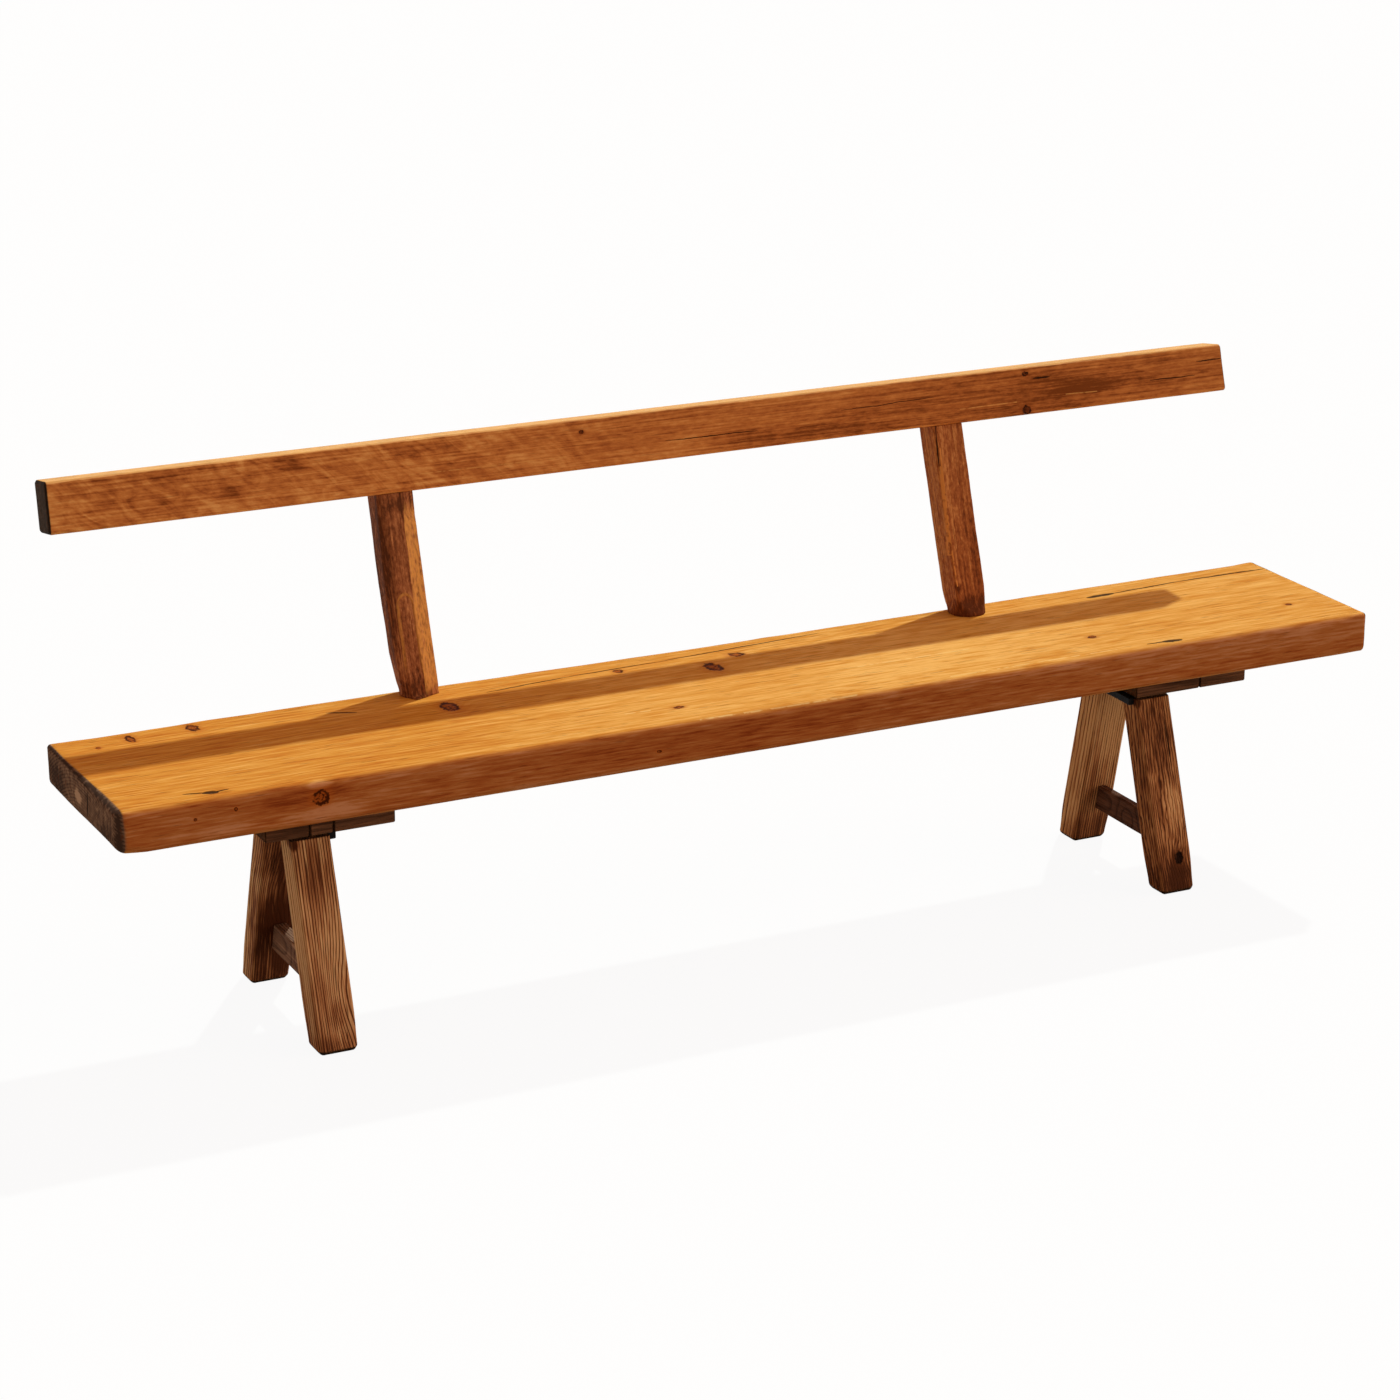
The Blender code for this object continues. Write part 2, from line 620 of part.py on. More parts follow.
def plate_screws(label, x, board, bench, seat, materials):
    """Two screws up through a board into the seat, one near each end."""
    length = PLATE_THICKNESS + CLEARANCE + SEAT_BITE
    for where, y in (("front", PLATE_SETBACK + PLATE_SCREW_EDGE),
                     ("back", PLATE_BACK - PLATE_SCREW_EDGE)):
        drive(f"plate_screw_{label}_{where}", flat_screw_body(length, 0.0),
              flat_screw_body(length, CLEARANCE), (x, y, PLATE_UNDERSIDE), math.pi,
              bench, (board, seat), materials)


def trestle(side, x, width, span, shapes, stretcher_sizes, inner, overhang, bench, materials):
    """Two legs, their bar and their stretcher; shapes hold each leg's splay and depth."""
    front, back = shapes
    legs = (leg(f"front_leg_{side}", x, width, span, *front, -1.0, bench, materials),
            leg(f"back_leg_{side}", x, width, span, *back, 1.0, bench, materials))
    bar = bearer_bar(side, x, width, span, inner, overhang, bench, materials)
    bar_housing(side, x, width, span, legs, bench)
    shift, lower, stretcher_width, thickness = stretcher_sizes
    faces = (inner_face(span, *front, -1.0), inner_face(span, *back, 1.0))
    stretcher(side, x + shift, lower, stretcher_width, thickness, faces, bench, legs, materials)
    leg_screws(side, x, span, shapes, legs, bar, bench, materials)
    return bar


def left_trestle(bench, seat, materials):
    shapes = ((LEFT_FRONT_SPLAY, LEFT_FRONT_DEPTH), (LEFT_BACK_SPLAY, LEFT_BACK_DEPTH))
    stretcher_sizes = (LEFT_STRETCHER_SHIFT, LEFT_STRETCHER_LOWER, LEFT_STRETCHER_WIDTH,
                       LEFT_STRETCHER_THICKNESS)
    bar = trestle("left", LEFT_LEG_X, LEFT_LEG_WIDTH, LEFT_LEG_SPAN, shapes, stretcher_sizes,
                  1.0, LEFT_BAR_OVERHANG, bench, materials)
    leg_face = LEFT_LEG_X - LEFT_LEG_WIDTH / 2.0
    outer_start = leg_face - LEFT_PLATE_OVERHANG
    middle_start = outer_start + LEFT_OUTER_WIDTH
    inner_start = middle_start + LEFT_MIDDLE_WIDTH
    outer = plate_board("plate_left_outer", outer_start, LEFT_OUTER_WIDTH, bench, materials)
    middle = plate_board("plate_left_middle", middle_start, LEFT_MIDDLE_WIDTH, bench, materials)
    inner = plate_board("plate_left_inner", inner_start, LEFT_INNER_WIDTH, bench, materials)
    places = (("outer", (leg_face + middle_start) / 2.0, outer),
              ("inner", middle_start + LEFT_MIDDLE_WIDTH / 2.0, middle))
    bar_screws("left", places, bar, bench, seat, materials)
    plate_screws("left_outer", (outer_start + leg_face) / 2.0, outer, bench, seat, materials)
    plate_screws("left_inner", inner_start + LEFT_INNER_WIDTH / 2.0, inner, bench, seat, materials)


def right_trestle(bench, seat, materials):
    shapes = ((RIGHT_FRONT_SPLAY, RIGHT_FRONT_DEPTH), (RIGHT_BACK_SPLAY, RIGHT_BACK_DEPTH))
    stretcher_sizes = (RIGHT_STRETCHER_SHIFT, RIGHT_STRETCHER_LOWER, RIGHT_STRETCHER_WIDTH,
                       RIGHT_STRETCHER_THICKNESS)
    bar = trestle("right", RIGHT_LEG_X, RIGHT_LEG_WIDTH, RIGHT_LEG_SPAN, shapes, stretcher_sizes,
                  -1.0, RIGHT_BAR_OVERHANG, bench, materials)
    inner_start = RIGHT_LEG_X - RIGHT_LEG_WIDTH / 2.0
    outer_start = inner_start + RIGHT_INNER_WIDTH
    inner = plate_board("plate_right_inner", inner_start, RIGHT_INNER_WIDTH, bench, materials)
    outer = plate_board("plate_right_outer", outer_start, RIGHT_OUTER_WIDTH, bench, materials)
    quarter = RIGHT_LEG_WIDTH / 4.0
    places = (("inner", RIGHT_LEG_X - quarter, inner), ("outer", RIGHT_LEG_X + quarter, inner))
    bar_screws("right", places, bar, bench, seat, materials)
    plate_screws("right_outer", outer_start + RIGHT_OUTER_WIDTH / 2.0, outer, bench, seat,
                 materials)


def footprint_middle():
    """Y half way between the bench's front and back extremes."""
    front = min(outer_face(0.0, splay, -1.0)(LEG_ROUND * math.cos(splay))
                for splay in (LEFT_FRONT_SPLAY, RIGHT_FRONT_SPLAY))
    rail_back = (RAIL_FRONT + (RAIL_WIDTH - RAIL_ROUND) * math.sin(RAIL_TILT)
                 + (RAIL_DEPTH - RAIL_ROUND) * math.cos(RAIL_TILT) + RAIL_ROUND)
    return (front + rail_back) / 2.0


def build():
    clear_scene()
    bench = bpy.data.objects.new("bench", None)
    bpy.context.scene.collection.objects.link(bench)
    bench.location = (0.0, -footprint_middle(), 0.0)
    materials = all_materials()
    seat = seat_plank(bench, materials)
    rail = back_rail(bench, materials)
    slabs = cutting_slabs(bench)
    back_post("left", LEFT_POST_X, LEFT_POST_WIDTH, LEFT_POST_DEPTH, LEFT_POST_FROM_BACK,
              (LEFT_FOOT_RADIUS, LEFT_FOOT_FLARE),
              ((1.0, LEFT_FACET_WIDTH, LEFT_FACET_DEPTH),
               (-1.0, LEFT_CORNER_WIDTH, LEFT_CORNER_DEPTH)),
              bench, seat, rail, slabs, materials)
    back_post("right", RIGHT_POST_X, RIGHT_POST_WIDTH, RIGHT_POST_DEPTH, RIGHT_POST_FROM_BACK,
              (RIGHT_FOOT_RADIUS, RIGHT_FOOT_FLARE),
              ((-1.0, RIGHT_CORNER_WIDTH, RIGHT_CORNER_DEPTH),),
              bench, seat, rail, slabs, materials)
    left_trestle(bench, seat, materials)
    right_trestle(bench, seat, materials)


build()
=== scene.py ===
import math
import bpy
import numpy as np
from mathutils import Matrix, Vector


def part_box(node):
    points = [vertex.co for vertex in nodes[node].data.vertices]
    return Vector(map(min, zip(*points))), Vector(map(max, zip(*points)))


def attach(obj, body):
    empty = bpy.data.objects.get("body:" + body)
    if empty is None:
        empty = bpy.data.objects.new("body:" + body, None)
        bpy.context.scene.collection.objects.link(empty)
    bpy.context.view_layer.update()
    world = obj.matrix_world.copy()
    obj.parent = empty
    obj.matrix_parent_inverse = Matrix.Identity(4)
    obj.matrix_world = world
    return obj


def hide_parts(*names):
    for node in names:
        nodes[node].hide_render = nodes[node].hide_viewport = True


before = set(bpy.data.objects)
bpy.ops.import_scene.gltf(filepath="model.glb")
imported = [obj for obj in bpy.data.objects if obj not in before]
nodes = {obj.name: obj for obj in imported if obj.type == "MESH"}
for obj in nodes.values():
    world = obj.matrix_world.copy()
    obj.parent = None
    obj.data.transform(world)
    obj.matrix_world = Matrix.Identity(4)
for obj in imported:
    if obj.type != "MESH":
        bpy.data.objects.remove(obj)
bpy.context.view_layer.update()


# a screen colour of 0 to 255 as the linear colour that a shader wants
def tone(red, green, blue):
    share = np.array([red, green, blue]) / 255
    linear = np.where(share <= 0.04045, share / 12.92, ((share + 0.055) / 1.055) ** 2.4)
    return (*map(float, linear), 1.0)


# 0 below the start, 1 past the end, an S curve 3t^2 - 2t^3 between
def ease(value, start, end):
    part = np.clip((value - start) / (end - start), 0, 1)
    return part * part * (3 - 2 * part)


# smooth noise from -1 to 1: random heights at whole-number points, blended by 3t^2 - 2t^3
def ripple(points, seed):
    cell = np.floor(points).astype(np.int64)
    part = points - cell
    part = part * part * (3 - 2 * part)
    total = np.zeros(len(points))
    for corner in np.ndindex(2, 2, 2):
        key = (cell + corner) @ np.array([73856093, 19349663, 83492791]) + seed * 7919
        key = (key ^ (key >> 13)) * 1274126177 & 0x7fffffff
        height = ((key ^ (key >> 11)) & 0xffff) / 0xffff
        total += height * np.prod(np.where(corner, part, 1 - part), axis=1)
    return total * 2 - 1


# two or three octaves of ripple, each twice as fine and half as high
def roughness(points, seed, octaves=3):
    parts = [ripple(points * 2 ** k, seed + 31 * k) / 2 ** k for k in range(octaves)]
    return sum(parts) / (2 - 2 ** (1 - octaves))


# lattice lines across a block: close together over the rounded edges, even between
def latticeLines(half, edge, steps, arcSteps=5):
    arc = edge * np.tan(np.linspace(0, math.pi / 4, arcSteps + 1))
    middle = np.linspace(edge - half, half - edge, steps + 1)
    return np.concatenate([edge - half - arc[:0:-1], middle, half - edge + arc[1:]])


# the lattice points on the six sides of a block, and the quads that join them
def latticeSkin(counts):
    stride = (1, counts[0] + 1, (counts[0] + 1) * (counts[1] + 1))
    sides = []
    for fixed in range(3):
        first, second = (fixed + 1) % 3, (fixed + 2) % 3
        a, b = np.meshgrid(np.arange(counts[first]), np.arange(counts[second]), indexing="ij")
        start = a.ravel() * stride[first] + b.ravel() * stride[second]
        right, up = stride[first], stride[second]
        loop = np.stack([start, start + right, start + right + up, start + up], axis=1)
        sides += [loop[:, ::-1], loop + counts[fixed] * stride[fixed]]
    used, quads = np.unique(np.concatenate(sides), return_inverse=True)
    spots = [used % (counts[0] + 1), used // stride[1] % (counts[1] + 1), used // stride[2]]
    return np.stack(spots, axis=1), quads.reshape(-1, 4)


# rings of points joined into one closed skin, each end closed at its middle point
def ringSkin(rings):
    count, around = rings.shape[:2]
    spot = np.arange(count * around).reshape(count, around)
    beside = np.roll(spot, -1, axis=1)
    quads = np.stack([spot[:-1], beside[:-1], beside[1:], spot[1:]], axis=-1).reshape(-1, 4)
    poles = np.array([rings[0].mean(axis=0), rings[-1].mean(axis=0)])
    points = np.concatenate([rings.reshape(-1, 3), poles])
    low, high = count * around, count * around + 1
    caps = [np.stack([beside[0], spot[0], np.full(around, low)], axis=1),
            np.stack([spot[-1], beside[-1], np.full(around, high)], axis=1)]
    return points, quads.tolist() + np.concatenate(caps).tolist()


def putObject(name, data):
    made = bpy.data.objects.new(name, data)
    bpy.context.scene.collection.objects.link(made)
    return made


# puts points and faces into a piece of the bench, with its marks for the shaders
def makePiece(name, points, faces, finish, marks, covers):
    mesh = bpy.data.meshes.new(name)
    mesh.from_pydata(points.tolist(), [], faces)
    for label, values in marks.items():
        kind = "FLOAT_VECTOR" if values.ndim == 2 else "FLOAT"
        layer = mesh.attributes.new(label, kind, "POINT")
        layer.data.foreach_set("vector" if values.ndim == 2 else "value",
                               values.astype(np.float32).ravel())
    mesh.polygons.foreach_set("use_smooth", np.ones(len(mesh.polygons), bool))
    mesh.materials.append(finish)
    mesh.update()
    mesh.validate()
    piece = putObject(name, mesh)
    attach(piece, "root")
    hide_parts(*covers)


# a board: p = inner block + edge radius * unit(q - inner block), worn inwards along that
# unit vector, then laid in its place; the first axis of the block runs along the grain
def board(name, look, lay, wear, finish, covers, edges=None):
    half = np.array(look["size"]) / 2
    lines = [latticeLines(half[k], look["edge"], look["steps"][k]) for k in range(3)]
    spots, quads = latticeSkin([len(line) - 1 for line in lines])
    block = np.stack([lines[k][spots[:, k]] for k in range(3)], axis=1)
    radius = np.full(block.shape, look["edge"]) if edges is None else edges(block)
    held = np.clip(block, radius - half, half - radius)
    out = (block - held) / radius
    out = out / np.linalg.norm(out, axis=1, keepdims=True)
    skin = held + out * radius
    arris = np.clip((1 - np.abs(out).max(axis=1)) / 0.29, 0, 1)
    grain = skin + half + np.array(look.get("shift", (0, 0, 0)))
    skin = skin - out * wear(skin + half, out, arris)[:, None]
    marks = {"grain": grain, "arris": arris, "endFace": out[:, 0] ** 2}
    makePiece(name, lay(skin), quads.tolist(), finish, marks, covers)


# a socket that can stand in plain sums; every sum adds one Math node
class Plug:
    def __init__(self, finish, socket):
        self.finish, self.socket = finish, socket

    def __add__(self, other):
        return self.finish.sum("ADD", self, other)

    def __sub__(self, other):
        return self.finish.sum("SUBTRACT", self, other)

    def __rsub__(self, other):
        return self.finish.sum("SUBTRACT", other, self)

    def __mul__(self, other):
        return self.finish.sum("MULTIPLY", self, other)

    def __truediv__(self, other):
        return self.finish.sum("DIVIDE", self, other)

    def __pow__(self, other):
        return self.finish.sum("POWER", self, other)

    __radd__, __rmul__ = __add__, __mul__


# the node tree of a material or of the world, under construction
class Finish:
    def __init__(self, owner):
        owner.use_nodes = True
        self.owner, self.tree = owner, owner.node_tree
        self.tree.nodes.clear()

    # adds a node: its settings first, then the values or links of its sockets
    def node(self, kind, settings, inputs, take=0):
        made = self.tree.nodes.new(kind)
        for key, value in settings.items():
            if key == "stops":
                self.fillRamp(made.color_ramp, value)
            else:
                setattr(made, key, value)
        for key, value in inputs.items():
            if isinstance(value, Plug):
                self.tree.links.new(value.socket, made.inputs[key])
            else:
                made.inputs[key].default_value = value
        return Plug(self, made.outputs[take]) if made.outputs else None

    def fillRamp(self, ramp, stops):
        while len(ramp.elements) < len(stops):
            ramp.elements.new(0.5)
        for element, (place, colour) in zip(ramp.elements, stops):
            element.position, element.color = place, tone(*colour)

    def sum(self, operation, first, second=0.0, clamp=False):
        return self.node("ShaderNodeMath", {"operation": operation, "use_clamp": clamp},
                         {0: first, 1: second})

    def vector(self, operation, first, second=(0, 0, 0), scale=1.0, take=0):
        return self.node("ShaderNodeVectorMath", {"operation": operation},
                         {0: first, 1: second, 3: scale}, take)

    # S curve from 0 at low to 1 at high
    def ease(self, value, low, high):
        return self.node("ShaderNodeMapRange", {"interpolation_type": "SMOOTHSTEP"},
                         {0: value, 1: low, 2: high})

    def mix(self, share, first, second, blend="MIX"):
        return self.node("ShaderNodeMix", {"data_type": "RGBA", "blend_type": blend},
                         {0: share, 6: first, 7: second}, 2)

    def ramp(self, value, stops):
        return self.node("ShaderNodeValToRGB", {"stops": stops}, {0: value})

    # noise of 0 to 1, drawn out by a scale for each axis
    def noise(self, place, scale, detail=2.0, rough=0.5, distortion=0.0):
        drawn = self.vector("MULTIPLY", place, scale)
        return self.node("ShaderNodeTexNoise", {},
                         {"Vector": drawn, "Scale": 1.0, "Detail": detail, "Roughness": rough,
                          "Distortion": distortion})

    def mark(self, label, take=2):
        return self.node("ShaderNodeAttribute", {"attribute_name": label}, {}, take)

    # a mark is a spot, its three radii and an amount: the distance from it in those radii
    def spot(self, place, mark):
        off = self.vector("SUBTRACT", place, mark[:3])
        return self.vector("LENGTH", self.vector("DIVIDE", off, mark[3:6]), take=1)

    # a stroke is two ends and a width: the distance from it, and the share of the way along
    def line(self, place, stroke, press):
        start, end = np.array(stroke[:3]) * press, np.array(stroke[3:6]) * press
        run = end - start
        off = self.vector("SUBTRACT", place, tuple(start))
        along = self.vector("DOT_PRODUCT", off, tuple(run / (run @ run)), take=1)
        along = self.sum("ADD", along, 0.0, clamp=True)
        nearest = self.vector("SCALE", tuple(run), scale=along)
        return self.vector("LENGTH", self.vector("SUBTRACT", off, nearest), take=1), along

    # the three parts of a vector
    def parts(self, place):
        first = self.node("ShaderNodeSeparateXYZ", {}, {0: place})
        return [Plug(self, socket) for socket in first.socket.node.outputs]

    # a soft patch that lightens or darkens, ragged at its edge
    def patch(self, place, mark):
        away = self.spot(place, mark) + (self.noise(place, (30, 60, 60), 3.0) - 0.5) * 0.9
        return (1 - self.ease(away, 0.3, 1.3)) * mark[6]

    # slanting ripples across the grain, strongest towards the start of the board
    def curl(self, place, look):
        turned = self.node("ShaderNodeMapping", {"vector_type": "POINT"},
                           {"Vector": place, "Rotation": look["turn"]})
        drawn = self.noise(turned, look["scale"], 4.0, 0.6, 1.4)
        along = self.parts(place)[0]
        return (drawn - 0.5) * (1 - self.ease(along, *look["fade"])) * look["depth"]

    def bump(self, height, distance, strength=1.0):
        return self.node("ShaderNodeBump", {},
                         {"Height": height, "Distance": distance, "Strength": strength})

    # closes the material with its main shader
    def close(self, sockets):
        shader = self.node("ShaderNodeBsdfPrincipled", {}, sockets)
        self.node("ShaderNodeOutputMaterial", {}, {0: shader})
        return self.owner


# wood: rings round a pith line, swayed by noise and bent round the knots, with fine
# fibres, long streaks and broad blotches added up into one value that a ramp colours
def woodFinish(name, look):
    wood = Finish(bpy.data.materials.new(name))
    grain = wood.mark("grain", 1)
    arris, endFace = wood.mark("arris"), wood.mark("endFace")
    _, across, through = wood.parts(grain)
    sway = wood.noise(grain, look["swayScale"], 2.0) - 0.5
    radius = wood.sum("SQRT", (across - look["pith"][0]) ** 2 + (through - look["pith"][1]) ** 2)
    rings = radius / look["ringWidth"] + sway * look["sway"]
    if look.get("wave"):
        rings = rings + (wood.noise(grain, look["waveScale"], 2.0) - 0.5) * look["wave"]
    nearest = None
    for mark in look["knots"] + look.get("bends", []):
        away = wood.spot(grain, mark)
        rings = rings + wood.sum("EXPONENT", away * away * -0.16) * mark[6]
        if mark in look["knots"]:
            nearest = wood.sum("MINIMUM", nearest, away) if nearest else away
    turn = wood.sum("FRACT", rings)
    late = wood.ease(turn, *look["lateReach"]) * (1 - wood.ease(turn, 0.86, 1.0))
    late = late * (0.35 + 1.3 * wood.noise(grain, look["blotchScale"], 1.0))
    fibre = wood.noise(grain, look["fibreScale"], 3.0, 0.55)
    streak = wood.noise(grain, look["streakScale"], 3.0, 0.55)
    blotch = wood.noise(grain, look["blotchScale"], 3.0, 0.5, 0.6)
    level = (0.5 - (late - 0.3) * look["ringDepth"] + (fibre - 0.5) * look["fibreDepth"]
             + (streak - 0.5) * look["streakDepth"] + (blotch - 0.5) * look["blotchDepth"])
    if look.get("mottle"):
        level = level + (wood.noise(grain, look["mottleScale"], 3.0, 0.65) - 0.5) * look["mottle"]
    # patches of lighter or darker wood; some of them are painted light or shade, as noted where they are
    # listed
    for mark in look["shades"]:
        level = level + wood.patch(grain, mark)
    if look.get("front"):
        front = 1 - wood.ease(across, *look["frontReach"])
        smear = wood.noise(grain, look["frontScale"], 5.0, 0.7, 0.4) - 0.5
        level = level + front * smear * look["frontDepth"]
    if look.get("curl"):
        level = level + wood.curl(grain, look["curl"])
    colour = wood.ramp(level, look["stops"])
    height = fibre * look["fibreBump"] - late * look["ringBump"]
    if look.get("front"):
        colour = wood.mix(front, colour, wood.mix(1.0, colour, look["front"], "MULTIPLY"))
    # a pale band along the rail's top: painted sheen where the top catches the light
    if look.get("paintedTopSheen"):
        low, high, share, sheenTone = look["paintedTopSheen"]
        sheenShare = wood.ease(through, low, high) * (share + (fibre - 0.5) * 0.6)
        colour = wood.mix(sheenShare, colour, sheenTone)
    # scattered dark pores and short dark dashes along the grain
    pores = 1 - wood.ease(wood.noise(grain, look["poreScale"], 2.0, 0.5), 0.27, 0.38)
    colour = wood.mix(pores * look["poreDepth"], colour, look["poreTone"])
    height = height - pores * look["poreBump"]
    # sawn ends: darker, with the rings showing and short checks across them
    checks = 1 - wood.ease(wood.noise(grain, look["checkScale"], 3.0, 0.6), 0.3, 0.42)
    sawn = wood.noise(grain, look["sawnScale"], 4.0, 0.65) - 0.5
    endLevel = 0.55 - late * 0.2 + sawn * 1.3
    for mark in look["endShades"]:
        endLevel = endLevel + wood.patch(grain, mark)
    endTone = wood.ramp(endLevel - arris * 0.5, look["endStops"])
    endTone = wood.mix(checks * 0.7, endTone, look["poreTone"])
    endShare = wood.ease(endFace, *look["endReach"])
    colour = wood.mix(endShare, colour, endTone)
    # handled edges: rubbed pale wood; the posts' right-hand facet takes this tone too, partly as painted
    # light
    rubbed = arris * wood.ease(wood.noise(grain, look["rubScale"], 3.0), *look["rubReach"])
    colour = wood.mix(rubbed * (1 - endShare) * look["rubDepth"], colour, look["rubTone"])
    if nearest:
        # a knot: red-brown inside, flecked, with a dark broken ring in a warmer halo
        ragged = nearest + (wood.noise(grain, look["knotScale"], 3.0, 0.7) - 0.5) * 1.5
        flecks = wood.ease(wood.noise(grain, look["fleckScale"], 2.0, 0.6), 0.5, 0.6)
        arcs = wood.ease(wood.noise(grain, look["arcScale"], 2.0), 0.36, 0.5)
        halo = 1 - wood.ease(ragged, 0.7, 2.4)
        core = 1 - wood.ease(ragged, 0.85, 1.1)
        ring = wood.ease(ragged, 0.5, 0.74) * (1 - wood.ease(ragged, 0.98, 1.2)) * arcs
        flecks = wood.sum("MAXIMUM", ring, flecks * core)
        colour = wood.mix(halo * 0.5, colour, look["haloTone"])
        colour = wood.mix(core * 0.8, colour, look["knotTone"])
        colour = wood.mix(flecks * 0.92, colour, look["knotRim"])
        height = height - core * (0.3 + flecks * 0.7)
    # cracks: lines that stray a little, open widest in the middle and close at both ends
    if look["cracks"]:
        wander = wood.noise(grain, look["wanderScale"], 3.0, 0.6) - 0.5
        lifted = wood.vector("SCALE", look["crackStray"], scale=wander)
        strayed = wood.vector("MULTIPLY", wood.vector("ADD", grain, lifted), look["press"])
        gape = 0.5 + wood.noise(grain, look["gapeScale"], 2.0)
        split = None
        for stroke in look["cracks"]:
            off, along = wood.line(strayed, stroke, look["press"])
            taper = wood.sum("SQRT", along * (1 - along) * 4) * gape * stroke[6] + 0.0001
            cut = 1 - wood.ease(off / taper, 0.5, 1.1)
            split = wood.sum("MAXIMUM", split, cut) if split else cut
        colour = wood.mix(split * 0.92, colour, look["crackTone"])
        height = height - split * 2.5
    # pale broken scratches, and painted highlights drawn the same way: light along the seat's front arris
    # and a streak down the right post
    for stroke in look["scratchesAndPaintedGlints"]:
        off, _ = wood.line(wood.vector("MULTIPLY", grain, look["press"]), stroke, look["press"])
        broken = wood.ease(wood.noise(grain, look["brokenScale"], 2.0), 0.38, 0.52)
        pale = (1 - wood.ease(off, stroke[6] * 0.4, stroke[6])) * broken
        colour = wood.mix(pale * look["scratchAndGlintShare"], colour, look["scratchAndGlintTone"])
    dull = look["roughness"] + (1 - level) * 0.12 + endShare * 0.2
    return wood.close({"Base Color": colour, "Roughness": dull,
                       "Specular IOR Level": look["specular"],
                       "Normal": wood.bump(height, look["bump"])})


view = {"from": (-2.5843, -5.1308, 2.3295), "tilt": 71.35, "turn": -26.28, "lens": 94.54, "sensor": 36}
lens = bpy.data.cameras.new("viewLens")
lens.lens, lens.sensor_width = view["lens"], view["sensor"]
camera = putObject("viewCamera", lens)
camera.location = view["from"]
camera.rotation_euler = (math.radians(view["tilt"]), 0, math.radians(view["turn"]))
bpy.context.scene.camera = camera
bpy.context.scene.view_settings.view_transform = "Standard"

light = {"keyFrom": (0.474, 0.436, 0.765), "key": 2.44, "keyAngle": 1.6, "keyTint": (0.9, 1, 0.97),
         "fillFrom": (0.86, -0.34, 0.38), "fill": 1.15, "fillAngle": 50,
         "fillTint": (1, 0.71, 0.57), "sky": 0.33, "skyTint": (1, 0.64, 0.47, 1), "floorWhite": 0.93}


# a distant lamp that shines from a direction
def lamp(name, origin, strength, angle, tint):
    data = bpy.data.lights.new(name, "SUN")
    data.energy, data.angle, data.color = strength, math.radians(angle), tint
    x, y, z = origin
    turn = (0, math.atan2(math.hypot(x, y), z), math.atan2(y, x))
    putObject(name, data).rotation_euler = turn


lamp("keyLamp", light["keyFrom"], light["key"], light["keyAngle"], light["keyTint"])
lamp("fillLamp", light["fillFrom"], light["fill"], light["fillAngle"], light["fillTint"])


# 1 for rays that the eye, a gloss or a glass sends
def seenDirectly(tree):
    path = tree.node("ShaderNodeLightPath", {}, {})
    sent = path.socket.node.outputs
    seen = tree.sum("MAXIMUM", Plug(tree, sent["Is Camera Ray"]), Plug(tree, sent["Is Glossy Ray"]))
    return tree.sum("MAXIMUM", seen, Plug(tree, sent["Is Transmission Ray"]))


# sky: a dim warm light for the bench, and plain white to the eye
bpy.context.scene.world = bpy.data.worlds.new("softSky")
sky = Finish(bpy.context.scene.world)
lit = sky.node("ShaderNodeBackground", {}, {"Color": light["skyTint"], "Strength": light["sky"]})
backdrop = sky.node("ShaderNodeBackground", {}, {"Color": (1, 1, 1, 1), "Strength": 1.0})
sky.node("ShaderNodeOutputWorld", {}, {0: sky.node(
    "ShaderNodeMixShader", {}, {0: seenDirectly(sky), 1: lit, 2: backdrop})})

# pale floor: white to the eye with the bench's soft shadow, and a dimmer bounce
pale = Finish(bpy.data.materials.new("paleFloor"))
matt = pale.node("ShaderNodeBsdfDiffuse", {}, {"Color": tone(245, 244, 242)})
white = pale.node("ShaderNodeEmission", {}, {"Color": (1, 1, 1, 1), "Strength": 1.0})
shown = pale.node("ShaderNodeMixShader", {}, {0: light["floorWhite"], 1: matt, 2: white})
bounce = pale.node("ShaderNodeBsdfDiffuse", {}, {"Color": tone(172, 162, 150)})
pale.node("ShaderNodeOutputMaterial", {}, {0: pale.node(
    "ShaderNodeMixShader", {}, {0: seenDirectly(pale), 1: bounce, 2: shown})})
reach = np.linspace(-40, 40, 3)
floorX, floorY = np.meshgrid(reach, reach, indexing="ij")
floorPoints = np.stack([floorX.ravel(), floorY.ravel(), np.zeros(floorX.size)], axis=1)
corner = np.array([0, 1, 3, 4])
squares = np.stack([corner, corner + 3, corner + 4, corner + 1], axis=1)
floorMesh = bpy.data.meshes.new("floor")
floorMesh.from_pydata(floorPoints.tolist(), [], squares.tolist())
floorMesh.materials.append(pale.owner)
floor = putObject("floor", floorMesh)
print("camera, light and floor stand")

frontEdge = -0.22701   # the seat's front edge, from the bench's own middle
seatTop = 0.45
gap = 0.0003           # kept between pieces that touch

# "sag": the hollow begins, is deepest from here to here, and ends, along the seat
seat ={"size": (2.236, 0.353, 0.071), "edge": 0.02, "steps": (560, 44, 10),
        "upperRound": 0.0125, "lowerRound": 0.01, "endRound": 0.019,
        "hollow": 0.0021, "sag": (0.45, 0.95, 1.35, 1.8), "sagRear": (0.14, 0.3),
        "underWear": 0.0007, "ripple": 0.00035, "chips": 0.0005}

